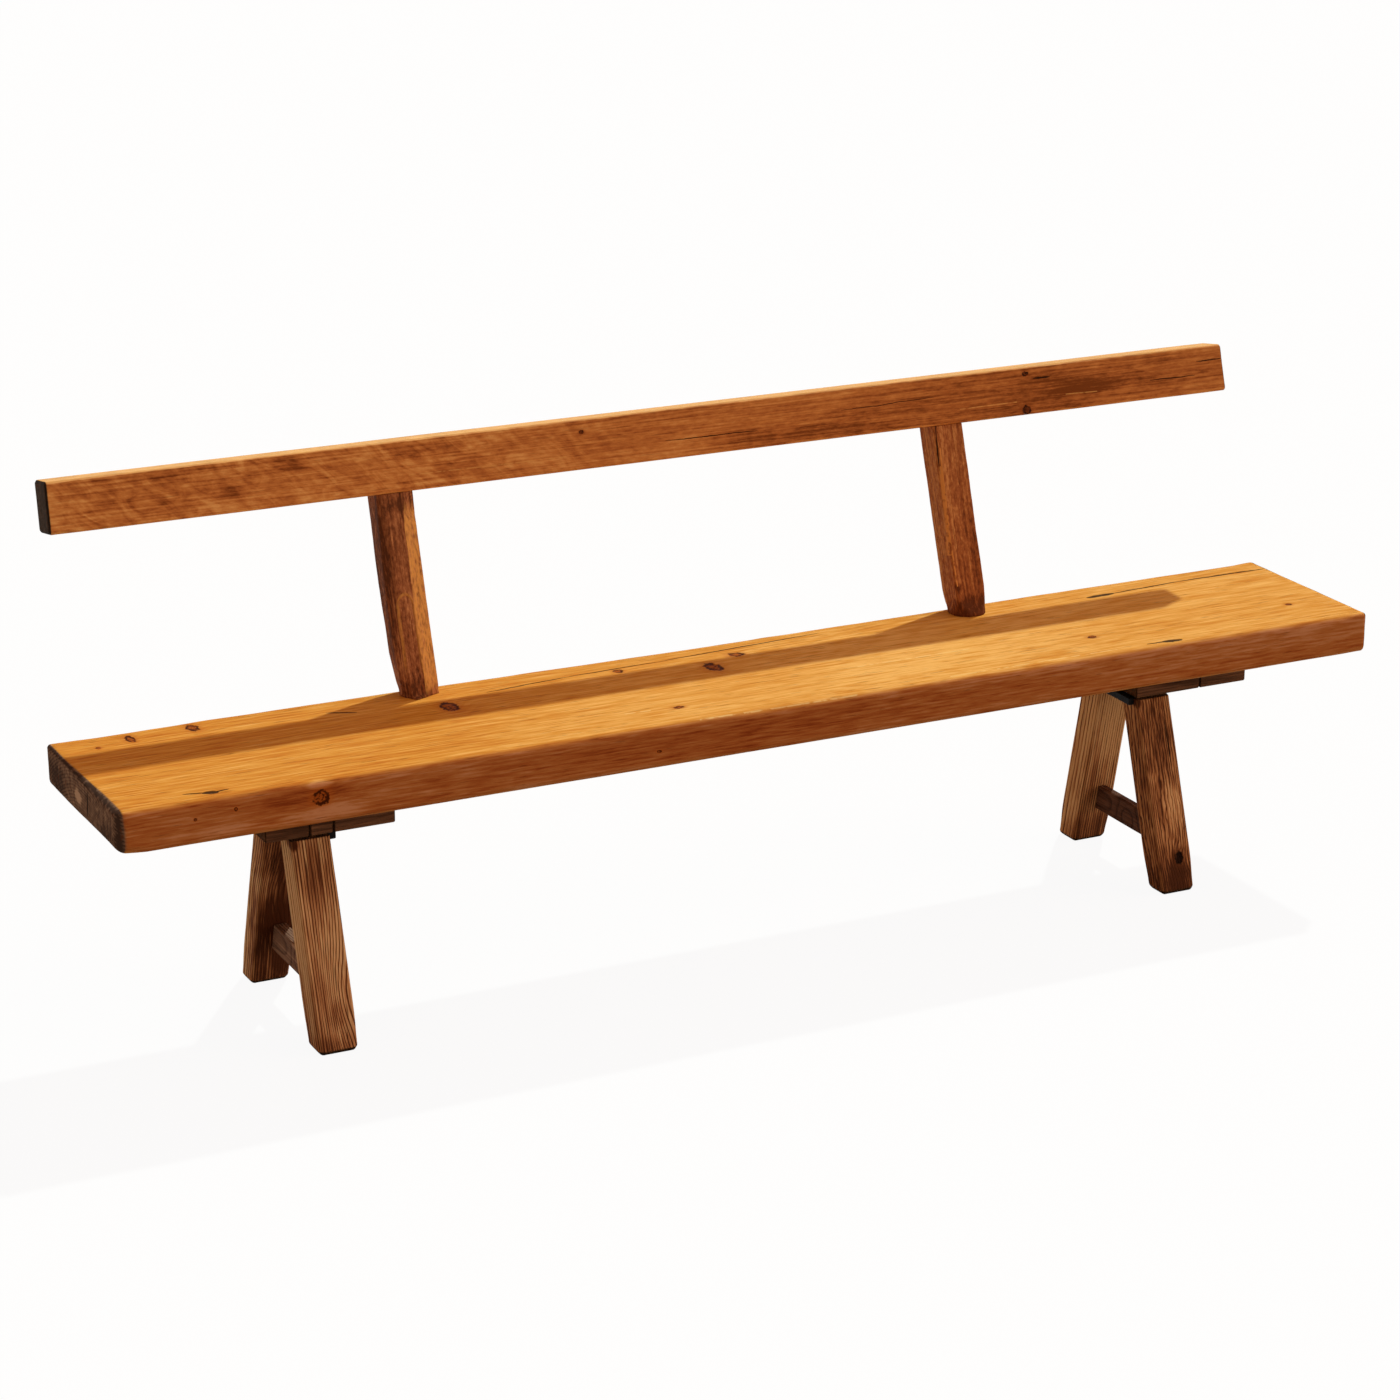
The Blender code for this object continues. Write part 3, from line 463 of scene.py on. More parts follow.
seatLook = {
    "swayScale": (1.3, 5.0, 5.0), "sway": 3.0, "pith": (0.16, -0.2), "ringWidth": 0.0052,
    "fibreScale": (15, 270, 270), "streakScale": (2.6, 90, 90), "blotchScale": (2.4, 11, 11),
    "poreScale": (24, 360, 360), "ringDepth": 0.06, "fibreDepth": 0.95, "streakDepth": 0.42,
    "blotchDepth": 0.3, "poreDepth": 0.5,
    "stops": [(0.1, (167, 86, 28)), (0.34, (204, 126, 46)), (0.55, (221, 153, 63)),
              (0.82, (245, 190, 105))],
    "front": tone(216, 197, 250), "frontScale": (13, 24, 140), "frontDepth": 1.1,
    "frontReach": (0.0012, 0.0085), "scratchAndGlintTone": tone(255, 224, 150), "scratchAndGlintShare": 0.6,
    "lateReach": (0.35, 0.82), "arcScale": (60, 60, 60), "fleckScale": (190, 300, 190),
    "wanderScale": (34, 8, 8), "gapeScale": (70, 20, 20), "brokenScale": (70, 90, 90),
    "checkScale": (3, 170, 45), "sawnScale": (30, 90, 90),
    "endReach": (0.006, 0.14), "rubScale": (14, 60, 60), "rubReach": (0.38, 0.62),
    "endStops": [(0.15, (74, 57, 48)), (0.55, (138, 111, 92)), (0.95, (206, 174, 146))],
    "endShades": [
        (0.0, 0.188, 0.037, 0.02, 0.017, 0.012, 0.7), (0.0, 0.3, 0.03, 0.02, 0.05, 0.03, -0.35),
        (0.0, 0.05, 0.02, 0.02, 0.04, 0.02, -0.25)],
    "poreTone": tone(112, 58, 24), "rubTone": tone(240, 172, 92), "rubDepth": 0.25,
    "knotTone": tone(156, 76, 26), "haloTone": tone(190, 100, 34), "knotRim": tone(58, 22, 6),
    "crackTone": tone(30, 15, 8),
    "fibreBump": 0.5, "ringBump": 0.25, "poreBump": 0.3, "bump": 0.0005,
    "roughness": 0.46, "specular": 0.006, "crackStray": (0, 0.005, 0),
    "press": (1, 1, 1), "knotScale": (95, 120, 95),
    "knots": [
        (0.124, 0.311, 0.071, 0.007, 0.015, 0.03, 1.6), (0.227, 0.319, 0.071, 0.009, 0.016, 0.03, 1.8),
        (0.628, 0.238, 0.071, 0.013, 0.022, 0.03, 2.6), (1.096, 0.235, 0.071, 0.013, 0.022, 0.03, 1.6),
        (1.16, 0.281, 0.071, 0.013, 0.01, 0.03, 1.4), (0.32, 0.0, 0.045, 0.012, 0.03, 0.012, 2.4),
        (0.186, 0.0, 0.048, 0.0028, 0.02, 0.003, 0.8), (0.122, 0.0, 0.042, 0.0025, 0.02, 0.0025, 0.5),
        (0.884, 0.0, 0.03, 0.004, 0.02, 0.002, 0.5), (0.067, 0.292, 0.071, 0.004, 0.006, 0.02, 0.6),
        (0.947, 0.287, 0.071, 0.008, 0.008, 0.02, 0.6), (0.953, 0.072, 0.071, 0.009, 0.006, 0.02, 0.8),
        (1.739, 0.096, 0.071, 0.008, 0.006, 0.02, 0.8), (2.143, 0.104, 0.071, 0.006, 0.006, 0.02, 0.8)],
    "cracks": [
        (0.116, 0.037, 0.071, 0.15, 0.029, 0.071, 0.0026),
        (0.143, 0.029, 0.071, 0.168, 0.024, 0.071, 0.0075),
        (0.158, 0.026, 0.071, 0.186, 0.029, 0.071, 0.0026),
        (0.44, 0.294, 0.071, 0.486, 0.276, 0.071, 0.003),
        (0.709, 0.28, 0.071, 0.862, 0.2975, 0.071, 0.0019),
        (0.855, 0.297, 0.071, 1.03, 0.304, 0.071, 0.0017),
        (1.025, 0.304, 0.071, 1.34, 0.3245, 0.071, 0.002),
        (1.85, 0.291, 0.071, 1.908, 0.2935, 0.071, 0.0075),
        (1.895, 0.293, 0.071, 2.052, 0.3037, 0.071, 0.0026),
        (2.045, 0.3037, 0.071, 2.23, 0.302, 0.071, 0.0032),
        (1.8, 0.022, 0.071, 1.845, 0.019, 0.071, 0.0026), (1.828, 0.02, 0.071, 1.868, 0.0167, 0.071, 0.007),
        (0.0, 0.142, 0.018, 0.0, 0.139, 0.06, 0.0036)],
    "scratchesAndPaintedGlints": [
        # painted highlight: the first stroke below is light caught along the front top arris; the others
        # are pale scratches
        (0.96, 0.0062, 0.0693, 1.24, 0.0062, 0.0693, 0.0024),
        (1.42, 0.017, 0.071, 1.74, 0.02, 0.071, 0.0022), (1.3, 0.128, 0.071, 1.52, 0.131, 0.071, 0.002),
        (0.86, 0.08, 0.071, 0.905, 0.078, 0.071, 0.0026)],
    "shades": [
        (1.95, 0.15, 0.071, 0.8, 0.3, 0.05, 0.16), (1.15, 0.12, 0.071, 0.6, 0.16, 0.05, 0.15),
        (0.318, 0.0, 0.066, 0.02, 0.02, 0.007, 0.55), (0.326, 0.0, 0.024, 0.018, 0.02, 0.006, 0.55),
        (0.33, 0.0, 0.02, 0.07, 0.02, 0.012, 0.3), (0.16, 0.0, 0.018, 0.07, 0.02, 0.01, 0.25),
        (0.3, 0.0, 0.05, 0.09, 0.01, 0.016, -0.22), (1.1, 0.0, 0.04, 0.6, 0.01, 0.03, -0.2)]}


# the plank's own edge radii: the long edges differ, the left end is rounder than the
# right one and its front corner roundest, and the top edge of an end is crisp
def seatEdges(block):
    upper = ease(block[:, 2], -0.02, 0.02)
    wander = ripple(block * (7, 2, 2), 11) * 0.28 + ripple(block * (23, 2, 2), 12) * 0.1
    along = seat["lowerRound"] + (seat["upperRound"] - seat["lowerRound"]) * upper
    along = along * (1 + wander * upper)
    end = seat["size"][0] / 2
    atEnd = ease(np.abs(block[:, 0]), end - 0.05, end - 0.01)
    forward = 1 - ease(block[:, 1], -0.12, 0.1)
    rightEnd = ease(block[:, 0], -0.1, 0.1)
    corner = seat["endRound"] * (0.75 + 0.25 * forward) * (1 - 0.4 * rightEnd)
    deep = along + (corner - along) * atEnd
    tall = along + (corner * (1 - 0.62 * upper) - along) * atEnd
    crisp = ease(block[:, 2], 0.0, 0.028) * (1 - 0.7 * forward)
    long = corner * (1 - 0.5 * np.maximum(crisp, rightEnd))
    return np.stack([long, deep, tall], axis=1)


# the top sags between the posts and is gently rippled; the underside is left rougher
def seatWear(place, out, arris):
    top, under = np.clip(out[:, 2], 0, 1), np.clip(-out[:, 2], 0, 1)
    middle = ease(place[:, 0], *seat["sag"][:2]) * (1 - ease(place[:, 0], *seat["sag"][2:]))
    rear = ease(place[:, 1], *seat["sagRear"])
    wear = top * middle * rear * seat["hollow"]
    wear = wear + under * seat["underWear"]
    wear = wear + (roughness(place * (5, 16, 16), 3) + 1) * seat["ripple"]
    return wear + arris * (roughness(place * (30, 40, 40), 5) + 1) * seat["chips"]


seatMiddle = (0, frontEdge + seat["size"][1] / 2, seatTop - seat["size"][2] / 2)
board("seat", seat, lambda skin: skin + seatMiddle, seatWear, woodFinish("seatWood", seatLook),
      ["seat_plank"], seatEdges)
print("seat laid")

# "at" is the middle of the lower front edge, measured back from the seat's front edge
rail = {"size": (2.1525, 0.0595, 0.0833), "edge": 0.0065, "steps": (520, 20, 26),
        "shift": (5.0, 0.3, 0.2), "tilt": -10.0, "fall": 0.15, "at": (-0.0043, 0.3909, 0.7644),
        "slant": (0.003, -0.084), "slantReach": (0.95, 1.07), "endReach": (1.02, 1.065),
        "edgeRound": 0.0042, "endRound": 0.0065, "endDepth": 0.0048}

railLook = dict(
    seatLook, front=None, swayScale=(1.6, 7.0, 7.0), sway=2.4, pith=(0.52, 0.36), ringWidth=0.006,
    fibreScale=(7, 300, 300), streakScale=(1.8, 80, 80), blotchScale=(8, 22, 22),
    poreScale=(14, 380, 380), poreDepth=0.4,
    fibreDepth=1.0, streakDepth=0.3, blotchDepth=0.55, ringDepth=0.06, crackStray=(0, 0, 0.004),
    # crown: the rail's pale top band, a painted sheen where the top catches the light
    mottle=0.7, mottleScale=(55, 170, 170), paintedTopSheen=(0.281, 0.283, 0.62, tone(248, 200, 124)),
    stops=[(0.08, (134, 74, 32)), (0.34, (190, 116, 60)), (0.56, (218, 145, 78)), (0.86, (247, 187, 113))],
    endStops=[(0.1, (40, 32, 26)), (0.6, (76, 61, 49)), (0.95, (112, 95, 78))],
    endShades=[], rubTone=tone(246, 196, 118), rubDepth=0.8, rubScale=(26, 60, 90), specular=0.03,
    haloTone=tone(150, 76, 30), knotTone=tone(96, 46, 20), knotRim=tone(44, 18, 8),
    arcScale=(160, 160, 160),
    knots=[
        (6.742, 0.3, 0.2086, 0.009, 0.02, 0.008, 1.2), (5.9, 0.3, 0.262, 0.004, 0.02, 0.003, 0.5),
        (6.743, 0.3, 0.271, 0.006, 0.02, 0.004, 0.5)],
    cracks=[
        (6.38, 0.3, 0.246, 6.56, 0.3, 0.25, 0.0006), (6.995, 0.3, 0.234, 7.09, 0.3, 0.233, 0.0009),
        (7.095, 0.3, 0.257, 7.148, 0.3, 0.2575, 0.0012), (6.05, 0.3, 0.231, 6.22, 0.3, 0.23, 0.0008),
        (6.758, 0.3, 0.2617, 6.792, 0.3, 0.2612, 0.0018)],
    scratchAndGlintTone=tone(240, 186, 108), scratchAndGlintShare=0.75,
    scratchesAndPaintedGlints=[
        (5.595, 0.3, 0.2262, 5.87, 0.3, 0.2245, 0.0009), (6.61, 0.3, 0.2237, 6.723, 0.3, 0.2245, 0.0011),
        (6.8225, 0.3, 0.2278, 6.8857, 0.3, 0.2263, 0.001)],
    shades=[
        (5.4, 0.3, 0.266, 0.035, 0.03, 0.014, -0.22), (5.19, 0.3, 0.262, 0.04, 0.03, 0.018, -0.18),
        (5.3, 0.3, 0.24, 0.035, 0.03, 0.02, -0.26), (5.62, 0.3, 0.262, 0.05, 0.03, 0.018, -0.16),
        (6.3, 0.3, 0.216, 0.16, 0.03, 0.014, -0.22), (6.87, 0.3, 0.236, 0.09, 0.03, 0.014, -0.22),
        (6.75, 0.3, 0.235, 0.5, 0.08, 0.06, -0.24)],
    curl={"turn": (0, -0.62, 0), "scale": (15, 10, 38), "fade": (5.6, 6.2), "depth": 1.2})


# the ends are rounder than the long edges
def railEdges(block):
    atEnd = ease(np.abs(block[:, 0]), *rail["endReach"])
    radius = rail["edgeRound"] + (rail["endRound"] - rail["edgeRound"]) * atEnd
    return np.stack([np.full(len(block), rail["endDepth"]), radius, radius], axis=1)


# turns a block's points about the rail's lower front edge; the right end is cut aslant
def layRail(skin):
    tilt, fall = math.radians(rail["tilt"]), math.radians(rail["fall"])
    x, y, z = (skin + (0, rail["size"][1] / 2, rail["size"][2] / 2)).T
    x = x + ease(x, *rail["slantReach"]) * (rail["slant"][0] + rail["slant"][1] * z)
    y, z = y * math.cos(tilt) - z * math.sin(tilt), y * math.sin(tilt) + z * math.cos(tilt)
    x, z = x * math.cos(fall) + z * math.sin(fall), z * math.cos(fall) - x * math.sin(fall)
    return np.stack([x, y, z], axis=1) + (np.array(rail["at"]) + (0, frontEdge, 0))


# plain worn timber: broad unevenness all over, and chips three times as fine on the arrises
def timberWear(scale, depth, arrisDepth, seed):
    def wear(place, out, arris):
        broad = (roughness(place * scale, seed) + 1) * depth
        return broad + arris * (roughness(place * scale * 3, seed + 9) + 1) * arrisDepth
    return wear


board("backRail", rail, layRail, timberWear(np.array((6, 20, 20)), 0.0003, 0.0006, 21),
      woodFinish("railWood", railLook), ["back_rail"], railEdges)
print("back rail laid")

postLook = dict(
    seatLook, front=None, swayScale=(3.0, 12.0, 12.0), sway=1.8, pith=(0.03, 0.16), ringWidth=0.0046,
    fibreScale=(13, 300, 300), streakScale=(4, 100, 100), blotchScale=(9, 24, 24),
    poreScale=(22, 380, 380), fibreDepth=1.0, streakDepth=0.6, blotchDepth=0.5, ringDepth=0.12,
    mottle=1.2, mottleScale=(100, 210, 210), scratchAndGlintTone=tone(240, 166, 90), scratchAndGlintShare=0.9,
    # rubTone also covers the right-hand facet, where its pale tone is partly painted light
    rubTone=tone(238, 178, 94), rubDepth=0.9, rubScale=(90, 230, 230), rubReach=(0.22, 0.64),
    roughness=0.5, specular=0.05, crackStray=(0, 0.002, 0), press=(1, 1, 0.12), endShades=[],
    knots=[], cracks=[], scratchesAndPaintedGlints=[], knotScale=(160, 200, 200), bump=0.0009)

# a facet is its side, its width at the foot and at the top, and its depth at both;
# a scoop is its middle, its upper end, half its width and its depth
leftPost = {
    "side": "left", "x": -0.508, "inset": 0.031, "width": 0.0645, "depth": 0.048, "lean": 17.55,
    "foot": 0.0333, "flare": 0.07, "collar": 0.004, "shift": 3.0, "swell": 0.09,
    "facets": [(1, (0.0285, 0.0265), (0.0125, 0.0125)), (-1, (0.01, 0.008), (0.019, 0.01))],
    "scoop": (-0.0105, 0.16, 0.0135, 0.0016),
    "finish": dict(
        postLook, bends=[(3.298, 0.082, 0.03, 0.01, 0.008, 0.03, 6.0)],
        stops=[(0.1, (98, 56, 32)), (0.36, (150, 92, 56)), (0.6, (182, 120, 78)), (0.88, (226, 164, 108))],
        shades=[
            # the first patch below darkens the foot: partly a dark stain, partly painted contact shadow
            # where the post meets the seat
            (3.004, 0.045, 0.022, 0.034, 0.024, 0.03, -0.4), (3.18, 0.017, 0.03, 0.2, 0.009, 0.05, -0.35),
            (3.305, 0.06, 0.026, 0.016, 0.04, 0.03, -0.25)])}
rightPost = {
    "side": "right", "x": 0.5053, "inset": 0.036, "width": 0.058, "depth": 0.051, "lean": 18.53,
    "foot": 0.0338, "flare": 0.048, "collar": 0.022, "shift": 7.0, "swell": 0.0,
    "facets": [(-1, (0.002, 0.007), (0.003, 0.007))], "scoop": None,
    "finish": dict(
        postLook, cracks=[(7.335, 0.0262, 0.0245, 7.24, 0.0242, 0.0245, 0.001)],
        stops=[(0.1, (104, 55, 27)), (0.36, (152, 87, 46)), (0.6, (180, 110, 61)), (0.88, (218, 153, 92))],
        scratchesAndPaintedGlints=[
            # painted highlight: the strokes below draw a bright streak of light down the post's front
            (7.285, 0.029, 0.0245, 7.15, 0.0258, 0.0245, 0.0017),
            (7.25, 0.0258, 0.0245, 7.1, 0.0224, 0.0245, 0.0026),
            (7.15, 0.024, 0.0245, 7.045, 0.0262, 0.0245, 0.0018)],
        shades=[
            # the first patch below darkens the foot: partly a dark stain, partly painted contact shadow
            # where the post meets the seat
            (6.998, 0.05, 0.026, 0.028, 0.06, 0.05, -0.5), (7.042, 0.0264, 0.0245, 0.01, 0.007, 0.01, -0.6),
            # painted light: the first patch below lightens the post's left side face, as the sky's sheen
            # does
            (7.16, 0.021, 0.05, 0.2, 0.004, 0.06, 0.16), (7.2, 0.032, 0.0245, 0.12, 0.005, 0.01, 0.22)])}
# "cut" is the share by which hewn faces wander; "footChips", "broad" and "fine" are wear depths
postShared = {"around": 200, "rings": 150, "sharp": 64, "fade": 0.045, "runOut": 0.1,
              "tenon": 0.02, "railTenon": (0.034, 0.024, 0.04), "footStraight": 0.008,
              "cut": 0.01, "footChips": 0.001, "broad": 0.0006, "fine": 0.00025}


# length along a leaning post at which its shoulder's front edge meets the rail
def shoulderAt(post):
    lean, slope = math.radians(post["lean"]), math.tan(math.radians(-rail["tilt"]))
    railX, railY, railZ = rail["at"]
    bottom = railZ - (post["x"] - railX) * math.tan(math.radians(rail["fall"])) - gap
    edgeY = seat["size"][1] - post["inset"] - post["depth"] / 2 * math.cos(lean)
    edgeZ = seatTop + post["depth"] / 2 * math.sin(lean)
    return (bottom - edgeZ + slope * (railY - edgeY)) / (math.cos(lean) + slope * math.sin(lean))


# a post: radius(angle, height) = (sum of (n.dir / d)^p)^(-1/p) over its flats, facets and
# round foot, so every arris is slightly rounded; the rings climb the leaning axis
def backPost(post):
    s = postShared
    lean, top = math.radians(post["lean"]), shoulderAt(post)
    angle = np.linspace(0, 2 * math.pi, s["around"], endpoint=False)[None, :]
    ray = np.stack([np.cos(angle), np.sin(angle)], axis=-1)
    # rings stand closest together at the foot and under the shoulder
    height = np.concatenate([np.linspace(0, 0.012, 6), np.linspace(0.014, top - 0.022, s["rings"]),
                             np.linspace(top - 0.02, top, 24)])[:, None]

    # one flat's term; its normal and distance may change up the post
    def flat(normal, distance):
        facing = ray[..., 0] * normal[0] + ray[..., 1] * normal[1]
        return (np.clip(facing, 0, None) / distance) ** s["sharp"]

    # the four flats of a square section, added up
    def square(distances):
        return sum(flat(normal, distance) for normal, distance in
                   zip(((1, 0), (-1, 0), (0, 1), (0, -1)), distances))

    halfX, halfY = post["width"] / 2, post["depth"] / 2
    seed = int(post["shift"])
    # hewn faces: each flat moves in and out a little up the post
    climb = height[:, 0]
    hewn = [1 - s["cut"] * (1 + ripple(np.stack([climb * 22, climb * 0 + k, climb * 0], axis=1),
                                       seed)[:, None]) for k in range(4)]
    hewn[1] = hewn[1] + post["swell"] * ease(height, 0.02, 0.09) * (1 - 0.5 * ease(height, 0.2, top))
    # the flats start a little above the seat, over a round foot
    begun = ease(height, 0.0, post["collar"])
    body = square([half * cut * begun + (post["foot"] + 0.0005) * (1 - begun)
                   for half, cut in zip((halfX, halfX, halfY, halfY), hewn)])
    rubAndPaintedFacetLight = np.zeros((len(height), s["around"]))
    for side, across, deep in post["facets"]:
        rise = ease(height, 0.05, top - 0.03)
        wide = across[0] + (across[1] - across[0]) * rise
        inward = deep[0] + (deep[1] - deep[0]) * rise
        size = np.hypot(wide, inward)
        normal = (side * inward / size, -wide / size)
        distance = normal[0] * side * halfX + normal[1] * (inward - halfY)
        facet = flat(normal, distance * (1 + s["runOut"] * ease(height, top - 0.06, top)))
        body = body + facet
        # the right-hand facet is marked for the pale rub tone: partly rubbed bare wood, partly painted
        # light where the facet catches the light
        if side > 0:
            faded = 1 - ease(height, top - s["fade"], top - s["fade"] * 0.2)
            rubAndPaintedFacetLight = ease(facet / body, 0.4, 0.6) * ease(height, -0.002, 0.02) * faded
    # the round foot widens up to the flare, where it runs out past the post's corners
    runOut = math.hypot(post["width"], post["depth"]) / 2 + gap
    footRadius = post["foot"] + (runOut - post["foot"]) * np.clip(
        (height - s["footStraight"]) / (post["flare"] - s["footStraight"]), 0, 1)
    ended = ease(height, post["flare"] + 0.03, post["flare"] + 0.08)
    body = body + footRadius ** -float(s["sharp"]) * (1 - ended)
    radius = body ** (-1 / s["sharp"])
    x, y = radius * ray[..., 0], radius * ray[..., 1]
    z = np.broadcast_to(height, x.shape)
    place = np.stack([z.ravel(), x.ravel(), y.ravel()], axis=1)
    worn = (roughness(place * (14, 45, 45), seed) + 1) * s["broad"]
    worn = worn + (roughness(place * (60, 160, 160), seed + 3) + 1) * s["fine"]
    # the foot is chipped all round
    low = 1 - ease(place[:, 0], 0.0, 0.03)
    worn = worn + low * (ripple(place * 170, seed + 7) + 1) * s["footChips"]
    worn = worn.reshape(x.shape)
    # a hollow with an arched top, cut by one stroke down the front
    if post["scoop"]:
        middle, upTo, half, deep = post["scoop"]
        rise = half * 1.4
        arch = ((x - middle) / half) ** 2 + (np.clip(z - upTo + rise, 0, None) / rise) ** 2
        frontal = ease(-y, halfY * 0.6, halfY * 0.8)
        worn = worn + (1 - ease(arch, 0.75, 1.05)) * frontal * ease(z, 0.025, 0.04) * deep
        ridge = (1 - ease(np.abs(arch - 1.05), 0.08, 0.34)) * frontal
        rubAndPaintedFacetLight = np.maximum(rubAndPaintedFacetLight, ridge * ease(z, 0.03, 0.06) * 0.8)
    x, y = x * (1 - worn / radius), y * (1 - worn / radius)
    # the foot stands level on the seat, and the shoulder follows the rail's sloping underside
    level = (y * math.sin(lean) - 0.0007) / math.cos(lean)
    slope = math.tan(lean + math.radians(rail["tilt"]))
    z = z + level * (1 - ease(height, 0.0, 0.06))
    z = z + (y + halfY) * slope * ease(height, top - 0.03, top)
    # square tenon into the rail above, round tenon through the seat below
    tenonX, tenonY, tenonZ = s["railTenon"]
    reach = square((tenonX / 2, tenonX / 2, tenonY / 2, tenonY / 2)) ** (-1 / s["sharp"])
    sx, sy = (reach[0, :, None] * ray[0]).T
    rx, ry = (s["tenon"] * ray[0]).T
    drop = (seat["size"][2] - 0.0001) / math.cos(lean)
    tilt = ry * math.tan(lean)
    one = np.ones(s["around"])
    lower = [(rx * 0.5, ry * 0.5, tilt * 0.5 - drop), (rx * 0.97, ry * 0.97, tilt * 0.97 - drop),
             (rx, ry, tilt - drop + 0.001), (rx, ry, tilt - 0.003)]
    upper = [(sx, sy, top + (sy + halfY) * slope), (sx, sy, one * (top + tenonZ))]
    rings = [np.stack([np.stack(ring, axis=-1) for ring in part]) for part in (lower, upper)]
    rings = np.concatenate([rings[0], np.stack([x, y, z], axis=-1), rings[1]])
    points, faces = ringSkin(rings)
    # from the leaning post's own axes to the bench's
    lx, ly, lz = points.T
    world = np.stack([lx, ly * math.cos(lean) + lz * math.sin(lean),
                      lz * math.cos(lean) - ly * math.sin(lean)], axis=1)
    world = world + (post["x"], seat["size"][1] - post["inset"] + frontEdge, seatTop)
    grain = np.stack([lz + post["shift"], lx + 0.05, ly + 0.05], axis=1)
    # marks ring by ring, then for the two end points: the tenon's lower end is an end face
    pad = np.zeros((4, s["around"]))
    ends = np.concatenate([[one, one], pad[:2], x * 0, pad[:2]])
    edges = np.concatenate([pad, rubAndPaintedFacetLight, pad[:2]])
    marks = {"grain": grain, "arris": np.append(edges, [0, 0]), "endFace": np.append(ends, [1, 1])}
    finish = woodFinish(post["side"] + "PostWood", post["finish"])
    makePiece("backPost" + post["side"].title(), world, faces, finish,
              marks, ["back_post_" + post["side"]])


backPost(leftPost)
backPost(rightPost)
print("back posts stand")

legTop = 0.3249
setback = 0.0965       # from the seat's front edge to the trestles' tops

legLook = dict(
    seatLook, front=None, swayScale=(3.0, 10.0, 10.0), sway=1.2, pith=(-0.16, 0.1), ringWidth=0.0042,
    wave=0.35, waveScale=(30, 60, 60), lateReach=(0.5, 0.84),
    fibreScale=(9, 300, 300), streakScale=(3.5, 120, 120), blotchScale=(9, 30, 30),
    poreScale=(12, 320, 320), poreDepth=0.7,
    fibreDepth=1.3, streakDepth=0.8, blotchDepth=0.7, ringDepth=0.55, arcScale=(160, 160, 160),
    stops=[(0.1, (84, 46, 26)), (0.36, (150, 98, 62)), (0.6, (199, 144, 98)), (0.9, (243, 204, 150))],
    endStops=[(0.1, (44, 30, 20)), (0.6, (96, 68, 46)), (0.95, (150, 112, 80))],
    rubTone=tone(206, 150, 98), rubDepth=0.4, roughness=0.62, specular=0.03, haloTone=tone(120, 70, 36),
    crackStray=(0, 0.002, 0), endShades=[], scratchesAndPaintedGlints=[], press=(1, 1, 1), knotScale=(150, 170, 170),
    knotTone=tone(96, 52, 26), knotRim=tone(34, 18, 10), poreTone=tone(58, 32, 18),
    knots=[], cracks=[], bump=0.0012, ringBump=0.6)

rightLegLook = dict(legLook, stops=[(0.1, (86, 50, 30)), (0.36, (156, 102, 64)),
                                    (0.6, (204, 146, 96)), (0.9, (240, 196, 140))])

